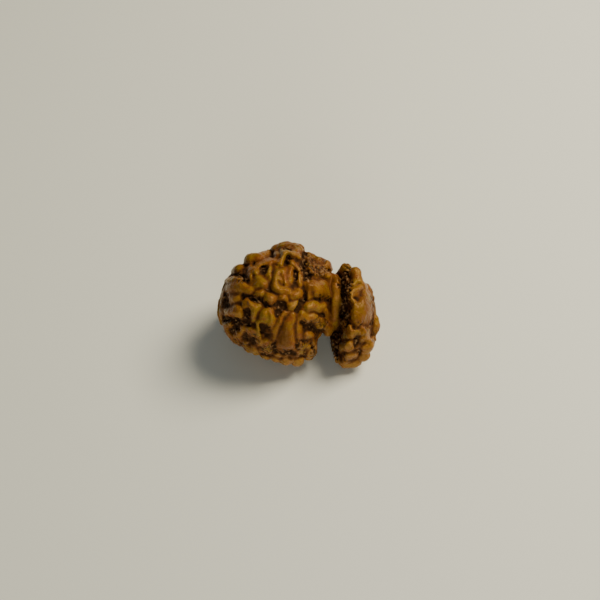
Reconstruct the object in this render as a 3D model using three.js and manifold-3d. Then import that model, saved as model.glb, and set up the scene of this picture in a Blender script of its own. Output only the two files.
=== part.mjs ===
// Twin rudraksha seed: two woody stones that grew together, a large round one and a smaller half round one.
// The seed is a single piece, in millimetres, and rests on z = 0 with its longest side along X.
// Its form is read as it looks from the front and above. A step is 1/163 of its length, u runs to the
// right, v runs up in that view and w runs towards the viewer. Knobs, slabs, ridges and pits are drawn there.

import * as THREE from 'three';
import Module from 'manifold-3d';
import { mergeVertices } from 'three/addons/utils/BufferGeometryUtils.js';

// Driving sizes
const LENGTH = 25;
const DRAWN_LENGTH = 163;
const STEP = LENGTH / DRAWN_LENGTH;
const VIEW_RISE = THREE.MathUtils.degToRad(52);
const VIEW_DISTANCE = 1336;
const GROUND_DROP = 49.4;
const TRIANGLES = 11800;

// The drawing's x and y of the large stone's middle, where u, v and w are 0
const MIDDLE_X = 275;
const MIDDLE_Y = 304;

// The sampled box and the width of its cells, in steps
const SAMPLED = { low: [-66, -70, -66], high: [112, 70, 62] };
const CELL = 1.5;

// Lobes of each stone: middle (x, y on the drawing and w), radii along u, v and w, lean about v in degrees
const LARGE_LOBES = [
  { middle: [272, 306, 0], radii: [50.5, 48, 50], lean: 0 },
  { middle: [299, 300, -4], radii: [28, 45, 42], lean: 0 },
  { middle: [286, 334, -2], radii: [28, 28, 38], lean: 0 },
  { middle: [311, 276, -10], radii: [16, 18, 30], lean: 0 },
  { middle: [289, 262, -2], radii: [17, 17, 25], lean: 0 },
];
const SMALL_LOBES = [{ middle: [339, 318, -5], radii: [32.5, 47, 37], lean: 18, flatFace: true }];
const NECK_LOBES = [{ middle: [335, 303, -22], radii: [20, 24, 18], lean: 0 }];

// How softly lobes, knobs, far ridges, far grooves, the join and the two stones run into each other
const LOBE_BLEND = 8;
const FACE_BLEND = 6;
const KNOB_BLEND = 1.8;
const WORM_BLEND = 2.6;
const GROOVE_BLEND = 1.6;
const JOIN_BLEND = 4;
const STONE_BLEND = 1;
const NECK_BLEND = 3;

// Bare wood lies this far under the lobes, and far ridges wander by about this much
const VALLEY_DEPTH = 0.2;
const DRIFT = 0.55;

// Waves of that wandering for u, v and w: factors of u, v and w, then where they start and their size
const DRIFT_WAVES = [
  [[0.31, 0.17, 0, 1.3, 1], [0, 0.23, -0.29, 0.4, 1], [0.41, 0, 0.53, 2.1, 0.6]],
  [[0, 0.27, 0.21, 2.7, 1], [0.33, 0, -0.19, 5, 1], [0.39, 0.47, 0, 0.8, 0.6]],
  [[0.13, 0, 0.29, 4.2, 1], [0.25, 0.31, 0, 3.3, 1], [0, 0.51, -0.43, 1.9, 0.6]],
];

// Map of the drawn relief: its edges and pitch on the drawing, bare height, creases and wear
const MAP = { left: 205, right: 392, top: 232, bottom: 378, pitch: 0.5, floor: 0.4, blend: 1.2, wear: 0.8 };

// How far slabs, ridges and pits spread past what is drawn, and how they round off
const SLAB = { spread: 2, round: 7.2, steep: 1.1, dome: 0.34, domeReach: 8 };
const RIDGE = { spread: 1.9, steep: 1.1 };
const PIT = { spread: 2.3, slope: 1.15 };

// The drawn relief fades out between these depths
const FRONT = { start: -14, end: 6 };

// Rows of round knobs on the large stone: x, y, w and radius of each
const LARGE_KNOBS = [
  [[236.4, 272, 3, 5.4], [240.6, 271.2, 11, 6.6]],
  [[252.8, 261.8, 10, 8.4], [259, 261.4, 12, 7.6], [264.6, 257.4, 3, 6.2], [268.5, 254.2, -3, 4.6]],
  [[231, 278, -4, 2.8]],
  [[279, 253, -3, 9], [286, 254, -2, 12.6], [291, 254, -2, 11.4]],
  [[298.5, 251, -5, 7]],
  [[311.5, 261.2, -10, 6.2], [318.5, 263.5, -8, 6.8], [325, 268, -6, 7.2]],
  [[327, 265, -1, 4]],
  [[287, 357.8, 13.5, 7.2]],
  [[297, 359.2, 6.5, 7]],
  [[276.4, 356.4, 12.5, 5.8]],
  [[268, 353.8, 7, 5.8]],
  [[309.4, 350, 3, 6.4], [308.4, 355.4, -4, 5]],
  [[322, 324, 6, 5], [327.4, 328.4, 2, 4.8], [327.4, 331.8, -2, 4]],
  [[256.8, 349.4, 11, 5.2]],
  [[250, 347.8, 8, 4.6]],
  [[237, 337.6, 12.5, 5.2], [230, 330.4, 10, 4.6], [227.6, 325.4, 12, 4]],
  [[240.6, 330.4, 28, 4.2]],
  [[251, 328.6, 36.4, 4.6], [255.2, 331, 37, 4.6]],
  [[265.6, 340.6, 31, 5]],
  [[248.6, 345.4, 15.4, 3.4], [255.4, 347.4, 16.8, 3.8]],
  [[221.5, 302, -4, 3.6], [221, 313, -3, 3.8], [223, 322, -4, 3.4]],
];

// Slabs: height over the lobes and outline on the drawing
const LARGE_SLABS = [
  { high: 1.4, edge: [[244.6, 262], [246, 257], [250, 254], [257, 253], [263, 254], [266, 257],
    [264, 260.6], [259, 262.4], [257, 265.4], [252, 268], [247, 267]] },
  { high: 1.4, edge: [[231.5, 273], [233, 268], [238, 265], [244.6, 265.4], [247, 268.6], [245, 271.6],
    [240, 273], [236.6, 275.6], [232, 276]] },
  { high: 1.4, edge: [[282.5, 354.6], [286, 353.2], [290, 354.2], [291, 358], [290, 362.4],
    [286, 363.6], [282.6, 360]] },
  { high: 1.4, edge: [[292.4, 355.4], [297, 354.4], [301.6, 356.6], [302, 361], [298.4, 364.4],
    [294, 363.8], [292.2, 360]] },
  { high: 2, edge: [[306, 346.6], [310, 344.4], [313.6, 347], [314.4, 353], [312.6, 358], [308, 357],
    [305.6, 352]] },
  { high: 5.2, edge: [[279, 264], [280, 257.5], [281.4, 253], [285, 250.4], [290.6, 251], [294, 254],
    [291.8, 256], [287.5, 256], [285.6, 259.5], [284.4, 264]] },
  { high: 5.6, edge: [[228, 281], [231, 278.6], [236, 277], [242.6, 277.6], [246.6, 280.4], [249, 284],
    [253.5, 286.5], [255.5, 290], [252, 293], [246, 292], [241, 293], [235, 293], [228.5, 292.5],
    [224.5, 291], [225.5, 286]] },
  { high: 4.6, edge: [[228.5, 294.5], [234, 293.8], [240, 294.2], [241.6, 298], [240.5, 303],
    [236, 305.4], [231, 304.4], [228.5, 300]] },
  { high: 5.2, edge: [[252, 281.5], [255, 275.5], [259, 273.2], [263.5, 275], [267.4, 279],
    [268.6, 283.5], [268.6, 287.5], [266, 290], [262, 289.4], [257, 288.8], [253, 287.4], [250.8, 284.6]] },
  { high: 5.8, edge: [[266.4, 263.5], [269, 261], [272.6, 262], [273, 268], [272.4, 275],
    [271.2, 281.5], [268.6, 280.5], [267.2, 274], [266.6, 268]] },
  { high: 3.8, edge: [[273, 262.6], [280, 262.4], [284, 266], [281.4, 269.4], [276.4, 272.6],
    [273.4, 270]] },
  { high: 4.6, edge: [[277.4, 274], [282, 270.6], [286, 271.4], [287, 282], [284.6, 287], [280, 287],
    [277, 281]] },
  { high: 5.8, edge: [[287.4, 265], [291, 262.8], [295.6, 265], [296.6, 269.6], [294, 272.5],
    [293.4, 277], [293.6, 282], [291, 284.6], [288.4, 280.5], [287, 275], [286.8, 269.5]] },
  { high: 5.2, edge: [[298.6, 269], [301.4, 268.5], [303.4, 273], [305, 279], [304, 285], [301, 288],
    [297.8, 285.5], [297.6, 279], [298, 273]] },
  { high: 6, edge: [[284.2, 284.5], [287.5, 282.8], [290.4, 285], [289.6, 288.4], [286, 289], [284, 287]] },
  { high: 5.2, edge: [[277.8, 294.8], [283, 292.8], [289, 292.4], [290.8, 296], [289, 301.4],
    [283, 302.2], [278.8, 300.4]] },
  { high: 5.8, edge: [[290.8, 291.6], [294, 288.8], [299, 288.6], [304, 290.4], [303.4, 295.6],
    [300, 299.4], [294.6, 299.8], [291.2, 297]] },
  { high: 5.6, edge: [[287.2, 302.8], [291.5, 300], [296.5, 299.6], [301.6, 301.2], [301.6, 306.2],
    [298, 310], [292.5, 311.6], [288.2, 310], [286.6, 306.8]] },
  { high: 6.8, edge: [[264.6, 296.5], [268, 292.6], [272.7, 292.6], [277, 295.6], [277.4, 300],
    [274, 303], [268.5, 303], [265, 300.4]] },
  { high: 5.6, edge: [[255.4, 291.6], [259, 289.8], [264.6, 290.2], [266.6, 292.6], [264, 296.4],
    [260, 297], [256.6, 295]] },
  { high: 6.4, edge: [[246, 298.6], [250, 297.4], [254, 300.6], [258, 302.6], [261.6, 305],
    [261.6, 310.4], [259, 315.6], [256.6, 320.6], [252, 321], [250.8, 316], [250.6, 311], [247, 307],
    [245.4, 302.6]] },
  { high: 6, edge: [[259, 321.6], [259.6, 316], [261.4, 311], [264, 308.2], [268.4, 307.6],
    [273, 309.4], [276.2, 313.4], [277.4, 319], [276, 324], [272.6, 328.6], [269.8, 325], [266, 323.4],
    [261.6, 323.4]] },
  { high: 5, edge: [[273.6, 337.5], [273, 331], [275.6, 324], [279.6, 317.6], [285, 311.6],
    [289.6, 310.6], [288.6, 315.6], [285, 320.4], [280.8, 328], [278.6, 335.6], [276.8, 340.4],
    [274.6, 340.4]] },
  { high: 5.2, edge: [[291.4, 312.6], [296, 312], [297.4, 317], [296.6, 324], [297, 332], [297, 340],
    [296.4, 350.4], [290, 351.4], [283, 350.6], [277, 347.4], [278, 340], [280.8, 332], [284.8, 324],
    [288.4, 318]] },
  { high: 5.4, edge: [[284, 341], [291, 338.5], [295.4, 343], [295.4, 350], [288.5, 350.6],
    [282.6, 348.4]] },
  { high: 6, edge: [[297.2, 319], [298.4, 314.5], [301.5, 312.4], [304.5, 314], [303.4, 319],
    [302.4, 325], [302.8, 332], [302.8, 338.6], [300, 340.6], [297.6, 338.4], [297, 329]] },
  { high: 5.6, edge: [[303.6, 333], [307.5, 330.6], [312.6, 331], [316.2, 334.6], [315, 338.6],
    [309.6, 340.4], [304.6, 339.6]] },
  { high: 5.4, edge: [[247, 326.4], [250.6, 325], [256, 326.6], [258.2, 328.6], [258.4, 334.8],
    [255, 335], [251.5, 332.4], [248.6, 329.6]] },
  { high: 4.8, edge: [[238.4, 330], [241.4, 326.8], [244.8, 325.6], [246.6, 328.6], [244, 332.4],
    [240.4, 334.2], [237.6, 333]] },
  { high: 5.4, edge: [[260.4, 340], [263.4, 337], [268.4, 336.4], [272, 338.8], [270.6, 343],
    [266, 346], [261.6, 345]] },
  { high: 6.4, edge: [[223.6, 310], [228.4, 307.4], [233.5, 306], [237.5, 304.6], [241.4, 306.6],
    [243.8, 310.6], [244.2, 315], [242, 317.8], [236.3, 318.4], [229.6, 317.6], [225.4, 315],
    [223.4, 312.4]] },
  { high: 4.8, edge: [[224.6, 327], [227, 323.6], [231.6, 322.4], [234.6, 324.4], [232.4, 327.4],
    [229.6, 330.6], [232.6, 333.6], [238.4, 335], [242, 338], [240.8, 342.4], [235.6, 341.6],
    [230, 337], [226, 332]] },
  { high: 6.8, edge: [[305, 282.4], [308.6, 280], [314, 279], [321, 278.8], [327, 280], [331.4, 283.6],
    [333, 289], [332.4, 296], [327.4, 299], [320, 298.8], [314.4, 298], [311, 292], [305.6, 289]] },
  { high: 7.2, edge: [[304.4, 305], [307.5, 301.2], [313, 301], [318, 302.2], [325, 301],
    [328.2, 304.6], [327, 310], [321.5, 312.6], [314, 312.2], [307.6, 312.8], [304, 309.6]] },
  { high: 3.4, edge: [[249.5, 346.5], [253, 344], [258, 345.2], [260.4, 349], [259.4, 353.4],
    [254, 353.6], [250, 350.6]] },
];

// Ridges and pits: half width, height or depth, and points on the drawing, some with their own half width
const LARGE_RIDGES = [
  { half: 2.4, high: 5.4, at: [[228, 280.4], [233, 279], [239, 279]] },
  { half: 2.6, high: 3.4, at: [[252, 268], [250.5, 275], [249.5, 281]] },
  { half: 2.2, high: 3.6, at: [[244.4, 300], [245, 308]] },
  { half: 2.8, high: 5.8, at: [[293, 253], [288.5, 251.2], [284.2, 252.6], [282.6, 257], [280.8, 262]] },
  { half: 2.8, high: 4.4, at: [[254.5, 268.5], [256.5, 271.5]] },
  { half: 2.2, high: 3.8, at: [[258.5, 265.5], [261, 262.3], [267, 261.6], [272, 262]] },
  { half: 2.6, high: 4.4, at: [[270.5, 260.5], [276, 260.4], [281, 260.4]] },
  { half: 2.8, high: 3.4, at: [[271.5, 259], [277, 253.6]] },
  { half: 2.6, high: 2.6, at: [[296.8, 246], [298, 255]] },
  { half: 2.6, high: 1.2, at: [[274, 248.5], [281, 245.6], [290, 245.6]] },
  { half: 2.2, high: 5.2, at: [[293, 262.6], [296.5, 265.4], [299.6, 269]] },
  { half: 2.6, high: 5.4, at: [[284, 269.4], [280, 271.6], [276.4, 276.5], [274.8, 282], [276.4, 286.6],
    [279.8, 289.6], [284.6, 291], [289.6, 291]] },
  { half: 1.8, high: 5.4, at: [[284.8, 270], [285.4, 275], [285.4, 280], [286.6, 283]] },
  { half: 2.2, high: 4.4, at: [[278.5, 276], [281, 279]] },
  { half: 2.4, high: 1.6, at: [[309, 257.5], [312.5, 257]] },
  { half: 2.4, high: 1.6, at: [[318, 260.5], [321.5, 261.4]] },
  { half: 2.8, high: 2.4, at: [[326, 263], [327, 268.5]] },
  { half: 2.2, high: 3, at: [[308.6, 263], [308, 268]] },
  { half: 2.4, high: 2.4, at: [[314, 266]] },
  { half: 2.4, high: 2.2, at: [[319.5, 268]] },
  { half: 2.4, high: 3, at: [[313, 271.6], [317, 275]] },
  { half: 2.4, high: 3, at: [[322.5, 274], [328, 275]] },
  { half: 2.2, high: 2.5, at: [[310, 276]] },
  { half: 2, high: 2, at: [[306.5, 271]] },
  { half: 2.4, high: 4.8, at: [[309.6, 290], [310.6, 296.5]] },
  { half: 2.4, high: 4.2, at: [[326, 311], [329, 314]] },
  { half: 3.6, high: 5.4, at: [[304, 315.6], [309, 318], [314, 318], [319, 319.6], [321.6, 324]] },
  { half: 2, high: 3.4, at: [[311.5, 314.5], [316, 315]] },
  { half: 2.6, high: 4.4, at: [[328, 318], [329.6, 322]] },
  { half: 3.2, high: 4.8, at: [[327, 327.5], [330, 329]] },
  { half: 2.6, high: 4.4, at: [[327.6, 333.4]] },
  { half: 2.2, high: 3.6, at: [[323, 325.5]] },
  { half: 2, high: 3.6, at: [[314.8, 342], [316, 347], [314.6, 352]] },
  { half: 3, high: 2.6, at: [[308.4, 345.6], [310.6, 350.6]] },
  { half: 2.2, high: 3.4, at: [[301, 343.6], [304, 346.4]] },
  { half: 2, high: 2.6, at: [[298.4, 352], [303, 352]] },
  { half: 2.2, high: 2.6, at: [[271.6, 343], [273, 350]] },
  { half: 1.5, high: 5, at: [[259, 321.6], [259, 330.3], [259.4, 337.5], [260, 344]] },
  { half: 2.2, high: 2.6, at: [[262.5, 350], [266.5, 348]] },
  { half: 2, high: 2.4, at: [[268, 344.6], [268.6, 350]] },
  { half: 2, high: 2, at: [[277, 353.6], [280, 355]] },
  { half: 2.4, high: 3, at: [[244, 343.5], [247, 341.5]] },
  { half: 2, high: 5, at: [[227, 324], [230.5, 322.4]] },
  { half: 1.3, high: 0.8, at: [[273, 305], [278, 307.5], [281, 304.5], [286, 306]] },
  { half: 1.3, high: 0.8, at: [[278.5, 308], [278.5, 312], [281, 316]] },
  { half: 1.4, high: 0.8, at: [[247, 335.5], [253, 341]] },
  { half: 1.4, high: 1.8, at: [[263.5, 326], [268, 331], [264, 335]] },
  { half: 1.5, high: 1, at: [[238, 274], [244, 276], [247, 280]] },
];
const LARGE_PITS = [
  { half: 2, deep: 0.6, at: [[263.6, 267.6, 1.9], [263, 270.6, 1.7]] },
  { half: 1.8, deep: 0.6, at: [[288.8, 257.6], [287.6, 262]] },
  { half: 1, deep: 0.3, at: [[284.6, 249], [291.4, 249.6]] },
  { half: 1.1, deep: 0.2, at: [[271.8, 252], [272.8, 256]] },
  { half: 1.5, deep: 1.3, at: [[305.8, 250.5], [304.6, 256]] },
  { half: 1, deep: 0.3, at: [[296.6, 272.6, 1.2], [296.2, 281.5, 0.8]] },
  { half: 2.1, deep: 1.5, at: [[303.2, 263.6], [304.2, 271]] },
  { half: 2.1, deep: 0.9, at: [[304.6, 272], [308.4, 276.5]] },
  { half: 1.2, deep: 0.8, at: [[305.6, 292], [305.2, 298], [302.6, 303]] },
  { half: 1.5, deep: 0.5, at: [[302.6, 303], [297, 311]] },
  { half: 0.9, deep: -3.1, at: [[288.2, 317], [283.4, 326], [279.4, 336]] },
  { half: 1.7, deep: 0.3, at: [[238, 275], [245, 276.6], [248.6, 281]] },
  { half: 2.2, deep: 0.7, at: [[225.6, 296], [226.4, 303.5]] },
  { half: 1.2, deep: 0.6, at: [[244, 294.6], [244, 298.6]] },
  { half: 2.2, deep: 0.9, at: [[247, 311], [247, 317], [249.6, 322.4]] },
  { half: 1.6, deep: 1.2, at: [[251.6, 295.4], [259.4, 299.6]] },
  { half: 2, deep: 0.9, at: [[225.6, 319], [232, 320.4], [239, 321]] },
  { half: 2.4, deep: 0.9, at: [[237.6, 322], [236.6, 328]] },
  { half: 2.4, deep: 0.2, at: [[264, 327], [267, 332]] },
  { half: 1.6, deep: 0.7, at: [[264, 303.6], [268, 305.6]] },
  { half: 2.8, deep: 0.7, at: [[277, 304], [283, 305], [279, 312]] },
  { half: 3, deep: 0.6, at: [[247, 338], [254, 341]] },
  { half: 1.6, deep: 0.7, at: [[303, 322.5]] },
  { half: 1.2, deep: 0.1, at: [[309, 327], [316, 328]] },
  { half: 1.3, deep: 0.5, at: [[323, 316]] },
  { half: 1.3, deep: 0.2, at: [[329.4, 300], [329.2, 305]] },
  { half: 1.1, deep: 0.3, at: [[283, 352.6], [297, 352.6]] },
  { half: 2, deep: 0.6, at: [[274.6, 346], [275.4, 350]] },
  { half: 1, deep: 0.4, at: [[291.6, 359], [291.8, 364]] },
  { half: 0.8, deep: -2.1, at: [[312.6, 291.5], [313.4, 297]] },
  { half: 1.1, deep: 0.2, at: [[319.6, 298]] },
  { half: 1.1, deep: 0.2, at: [[327.6, 300]] },
  { half: 0.7, deep: -3.5, at: [[268.6, 311.5], [269.6, 320]] },
  { half: 1.2, deep: 0.2, at: [[254.6, 265]] },
];

// The same for the small stone
const SMALL_KNOBS = [
  [[355.5, 273.4, 10, 6.3], [356.5, 277, 12, 5.4]],
  [[345.6, 269, -2, 5.8], [341, 276, -8, 5.4]],
  [[366.4, 290, -6, 5], [369.4, 299, -6, 5], [371, 307, -6, 4.4], [371.2, 313, -6, 4.8]],
  [[374, 319.4, -4, 5], [374.4, 326, -4, 5.6], [373, 331, -4, 4.6]],
  [[370.6, 338, -5, 5.2]],
  [[336.6, 343, -20, 5.4], [337.4, 351, -18, 5.4]],
  [[365, 346, 6, 8]],
  [[363.5, 354.8, 0, 6.6]],
  [[355, 361, -4, 6.4], [345, 361.4, -4, 6.6], [340, 358, -6, 5.4]],
];
const SMALL_SLABS = [
  { high: 4.6, edge: [[352, 283], [356, 280.6], [362, 281], [367, 284.6], [364, 288], [358, 288],
    [353, 287]] },
  { high: 4.4, edge: [[353.4, 292], [359, 289.6], [361, 293], [359, 297], [354, 296.6]] },
  { high: 1.6, edge: [[350, 269], [353.4, 266.6], [357.4, 268.4], [358.6, 272], [357.6, 276],
    [353.4, 277.6], [350.6, 274]] },
  { high: 5.2, edge: [[351.6, 301.5], [358, 300], [361.6, 296], [360.6, 290.6], [364, 287.6],
    [369, 288], [372, 294], [373.6, 303], [374, 311], [371, 318.6], [368, 323.6], [361, 326.4],
    [355, 325.6], [352, 320], [351.2, 311]] },
  { high: 5.8, edge: [[338.6, 345], [342, 340.6], [348, 340.6], [353.6, 342.4], [354, 347.4],
    [349, 351.6], [341, 352.4], [338.6, 349.4]] },
  { high: 1.8, edge: [[357.6, 346], [361, 342.4], [367.4, 341], [371.4, 344], [370.4, 348.4],
    [364.4, 350], [359, 349.8]] },
  { high: 3.4, edge: [[343, 356.6], [348, 353], [355, 352.6], [358.6, 355.6], [356, 359.4], [347.4, 360]] },
  { high: 5, edge: [[357.6, 328], [362, 324.6], [367.4, 325.6], [371, 328.6], [371, 335],
    [366.6, 339.4], [361, 338], [357.6, 333.4]] },
];
const SMALL_RIDGES = [
  { half: 2.8, high: 4.8, at: [[354, 282], [360, 282.2], [366, 285]] },
  { half: 2.4, high: 5.4, at: [[351.8, 297.6], [352.6, 292.6], [356, 288.6], [361, 287.4]] },
  { half: 2, high: 5.2, at: [[351.8, 298], [354.4, 301]] },
  { half: 3.4, high: 4.2, at: [[344.6, 322], [347, 329], [346.6, 335.6]] },
  { half: 2.6, high: 4.4, at: [[350.4, 329], [352.4, 335]] },
  { half: 2.6, high: 4.4, at: [[355.6, 331]] },
  { half: 2.2, high: 4.4, at: [[363, 339.6], [369, 338]] },
  { half: 2.6, high: 1.4, at: [[344, 362.4], [351, 364], [357, 362]] },
  { half: 2.2, high: 3.4, at: [[372.6, 340], [372, 346]] },
];
const SMALL_PITS = [
  { half: 0.7, deep: 0, at: [[353.4, 298], [358.6, 298.8]] },
  { half: 1.5, deep: 0.6, at: [[356.2, 338], [356.6, 342]] },
  { half: 1.1, deep: 0.3, at: [[360, 351.4], [366, 351.4]] },
  { half: 1.1, deep: 0.3, at: [[353.4, 327.4]] },
  { half: 0.8, deep: -1, at: [[341, 354], [350, 352]] },
  { half: 1.2, deep: 0.4, at: [[372.5, 336]] },
];

// The ridge along the join: half widths, places as u, v and w, and layers down into the neck
const JOIN = {
  halves: [4.4, 5.4, 5.2, 5.8, 5.2, 5.4, 4.2],
  at: [[59.6, 25, 2], [60.8, 18, 6], [59.8, 9, 8], [60.6, 0, 9], [59.6, -9, 8], [58.6, -17, 5], [56, -23, 0]],
  layers: 4,
};

// Worm-like ridges over the sides that the drawing doesn't reach
const LARGE_WORMS = { middle: [6, 0, 0], reach: 50, count: 220, draw: 11 };
const SMALL_WORMS = { middle: [68, -13, -5], reach: 34, count: 120, draw: 31 };

// Their sizes: shortest and extra length and half width, lowest height, height and how uneven it is
const WORM = { length: 5, longer: 11, half: 3.2, wider: 2.2, low: 2.2, high: 5.2, uneven: 1.2 };
const WORM_PROFILE = [0.85, 1.1, 1, 0.8];
const WORM_PARTS = [-0.8, -0.264, 0.264, 0.8];

// How much their sites, headings and bends vary, in radians
const WORM_JITTER = 0.35;
const WORM_TURN = 2.6;
const WORM_BEND = 1.5;

// Where they stop: how far a side may face the viewer, where full height starts, how near foot and knobs
const DRAWN_SIDE = 0.22;
const WORM_START = -0.2;
const WORM_GRADE = 0.4;
const FOOT_CLEARANCE = 3;
const KNOB_CLEARANCE = 3;

// Grooves from crown to foot on the far side, as angles about v
const GROOVES = { angles: [2.55, 3.75, 4.75], half: 1.8, deep: 2.2, bend: 1.15, parts: 12 };

// Rods of a worm or groove: how many half widths apart, how much each widens, how far in and out they go
const STACKING = 1.5;
const WORM_FLANK = 0.35;
const GROOVE_FLANK = 0.3;
const BURIED = 3;
const CLEAR = 7;
const ROD_MARGIN = 5;

// Steps used to find slopes and to settle a place on the lobes
const SLOPE_STEP = 0.5;
const SETTLE_PASSES = 5;

// The smallest share of a cell that a corner keeps from the surface
const LEAST_SHARE = 0.06;

// Thinning: how strongly it keeps edges even, the thinnest triangle it makes, the most that one may turn,
// how settled a lowest place is and how many edge lengths away it may lie
const EVENNESS = 0.002;
const THINNEST = 0.12;
const SAME_WAY = 0.3;
const SETTLED = 1e-4;
const NEAR_EDGES = 1.2;

// Numbers that scatter the repeatable draws
const SCATTER = { site: 12.9898, use: 78.233, start: 4.1, size: 43758.5453 };

const TINY = 1e-9;
const GOLDEN_TURN = 2.399963;
const AXES = [[1, 0, 0], [0, 1, 0], [0, 0, 1]];
const { clamp, smoothstep } = THREE.MathUtils;

function add(a, b, scale = 1) {
  return [a[0] + b[0] * scale, a[1] + b[1] * scale, a[2] + b[2] * scale];
}

function dot(a, b) {
  return a[0] * b[0] + a[1] * b[1] + a[2] * b[2];
}

function cross(a, b) {
  return [a[1] * b[2] - a[2] * b[1], a[2] * b[0] - a[0] * b[2], a[0] * b[1] - a[1] * b[0]];
}

function middleOf(places) {
  return places.reduce((sum, at) => add(sum, at, 1 / places.length), [0, 0, 0]);
}

function unit(a) {
  return add([0, 0, 0], a, 1 / Math.max(Math.hypot(...a), TINY));
}

// The place at depth w that the drawing shows at x, y
function place(x, y, w = 0) {
  const nearness = 1 - w / VIEW_DISTANCE;
  return [(x - MIDDLE_X) * nearness, (MIDDLE_Y - y) * nearness, w];
}

// The lesser of two distances, with a rounded corner between them
function softMin(a, b, blend) {
  const share = clamp(0.5 + 0.5 * (b - a) / blend, 0, 1);
  return b * (1 - share) + a * share - blend * share * (1 - share);
}

function softMax(a, b, blend) {
  return -softMin(-a, -b, blend);
}

// Height over the resting plane, in steps
function heightOf([, v, w]) {
  return v * Math.cos(VIEW_RISE) + w * Math.sin(VIEW_RISE) + GROUND_DROP;
}

// Prepares a lobe's middle, turn and radii once
function shapeLobe({ middle, radii, lean, flatFace = false }) {
  const turn = THREE.MathUtils.degToRad(lean);
  return { at: place(...middle), radii, cos: Math.cos(turn), sin: Math.sin(turn), flatFace };
}

// Distance to one lobe, an ellipsoid that may be halved by a flat face
function lobeDistance({ at, radii, cos, sin, flatFace }, u, v, w) {
  const across = (u - at[0]) * cos - (w - at[2]) * sin;
  const along = (u - at[0]) * sin + (w - at[2]) * cos;
  const upward = v - at[1];
  const near = Math.hypot(across / radii[0], upward / radii[1], along / radii[2]);
  const steep = Math.hypot(across / radii[0] ** 2, upward / radii[1] ** 2, along / radii[2] ** 2) + TINY;
  const distance = near * (near - 1) / steep;
  return flatFace ? softMax(distance, -across, FACE_BLEND) : distance;
}

function lobesDistance(lobes, u, v, w) {
  let distance = lobeDistance(lobes[0], u, v, w);
  for (let index = 1; index < lobes.length; index += 1) {
    distance = softMin(distance, lobeDistance(lobes[index], u, v, w), LOBE_BLEND);
  }
  return distance;
}

// The way straight out of the lobes at a place
function outward(lobes, at) {
  return unit(AXES.map((axis) => {
    const ahead = lobesDistance(lobes, ...add(at, axis, SLOPE_STEP));
    return ahead - lobesDistance(lobes, ...add(at, axis, -SLOPE_STEP));
  }));
}

// Brings a nearby place onto the lobes
function settle(lobes, start) {
  let at = start;
  let normal = outward(lobes, at);
  for (let pass = 0; pass < SETTLE_PASSES; pass += 1) {
    normal = outward(lobes, at);
    at = add(at, normal, -lobesDistance(lobes, ...at));
  }
  return { at, normal };
}

// An even, repeatable draw from 0 to 1
function chance(site, use) {
  const wave = Math.sin(site * SCATTER.site + use * SCATTER.use + SCATTER.start) * SCATTER.size;
  return wave - Math.floor(wave);
}

// A smooth, uneven drift of a place, so that no ridge runs straight
function drifted(at) {
  return at.map((part, axis) => {
    const waves = DRIFT_WAVES[axis].map(([u, v, w, start, size]) => {
      return size * Math.sin(u * at[0] + v * at[1] + w * at[2] + start);
    });
    return part + DRIFT * (waves[0] + waves[1] + waves[2]);
  });
}

// Distance to a round rod along a path, with its own half width at each point
function rodDistance(path, halves, u, v, w) {
  let distance = Infinity;
  for (let part = 0; part < Math.max(path.length - 1, 1); part += 1) {
    const follow = Math.min(part + 1, path.length - 1);
    const [au, av, aw] = path[part];
    const along = add(path[follow], path[part], -1);
    const length = dot(along, along) + TINY;
    const run = (u - au) * along[0] + (v - av) * along[1] + (w - aw) * along[2];
    const share = clamp(run / length, 0, 1);
    const gapU = u - au - share * along[0];
    const gapV = v - av - share * along[1];
    const gapW = w - aw - share * along[2];
    const half = halves[part] + (halves[follow] - halves[part]) * share;
    distance = Math.min(distance, Math.sqrt(gapU * gapU + gapV * gapV + gapW * gapW) - half);
  }
  return distance;
}

// A box of distances sampled at every cell
class Field {
  constructor() {
    this.low = SAMPLED.low;
    this.size = SAMPLED.high.map((high, axis) => Math.floor((high - SAMPLED.low[axis]) / CELL) + 1);
    const count = this.size[0] * this.size[1] * this.size[2];
    this.values = new Float64Array(count);
    this.places = new Float64Array(3 * count);
    this.shifted = new Float64Array(3 * count);
    for (let index = 0; index < count; index += 1) {
      const at = this.placeOf(index);
      this.places.set(at, 3 * index);
      this.shifted.set(drifted(at), 3 * index);
    }
  }

  placeOf(index) {
    const [, nj, nk] = this.size;
    const steps = [Math.floor(index / (nj * nk)), Math.floor(index / nk) % nj, index % nk];
    return steps.map((step, axis) => this.low[axis] + step * CELL);
  }

  // Replaces every value by change(value, u, v, w) of its own or its drifted place
  changeAll(change, places = this.places) {
    this.values = this.values.map((value, index) => {
      return change(value, places[3 * index], places[3 * index + 1], places[3 * index + 2]);
    });
  }

  // The same, between the two corners of a box
  change({ low, high }, change, places) {
    const [, nj, nk] = this.size;
    const first = low.map((value, axis) => Math.max(0, Math.floor((value - this.low[axis]) / CELL)));
    const last = high.map((value, axis) => {
      return Math.min(this.size[axis] - 1, Math.ceil((value - this.low[axis]) / CELL));
    });
    for (let i = first[0]; i <= last[0]; i += 1) {
      for (let j = first[1]; j <= last[1]; j += 1) {
        for (let k = first[2]; k <= last[2]; k += 1) {
          const index = (i * nj + j) * nk + k;
          const spot = places.subarray(3 * index, 3 * index + 3);
          this.values[index] = change(this.values[index], spot[0], spot[1], spot[2]);
        }
      }
    }
  }

  raiseRod(path, halves, blend, places = this.shifted) {
    this.change(boxAround(path, Math.max(...halves) + ROD_MARGIN), (value, u, v, w) => {
      return softMin(value, rodDistance(path, halves, u, v, w), blend);
    }, places);
  }

  cutRod(path, halves, blend) {
    this.change(boxAround(path, Math.max(...halves) + ROD_MARGIN), (value, u, v, w) => {
      return softMax(value, -rodDistance(path, halves, u, v, w), blend);
    }, this.shifted);
  }
}

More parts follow.
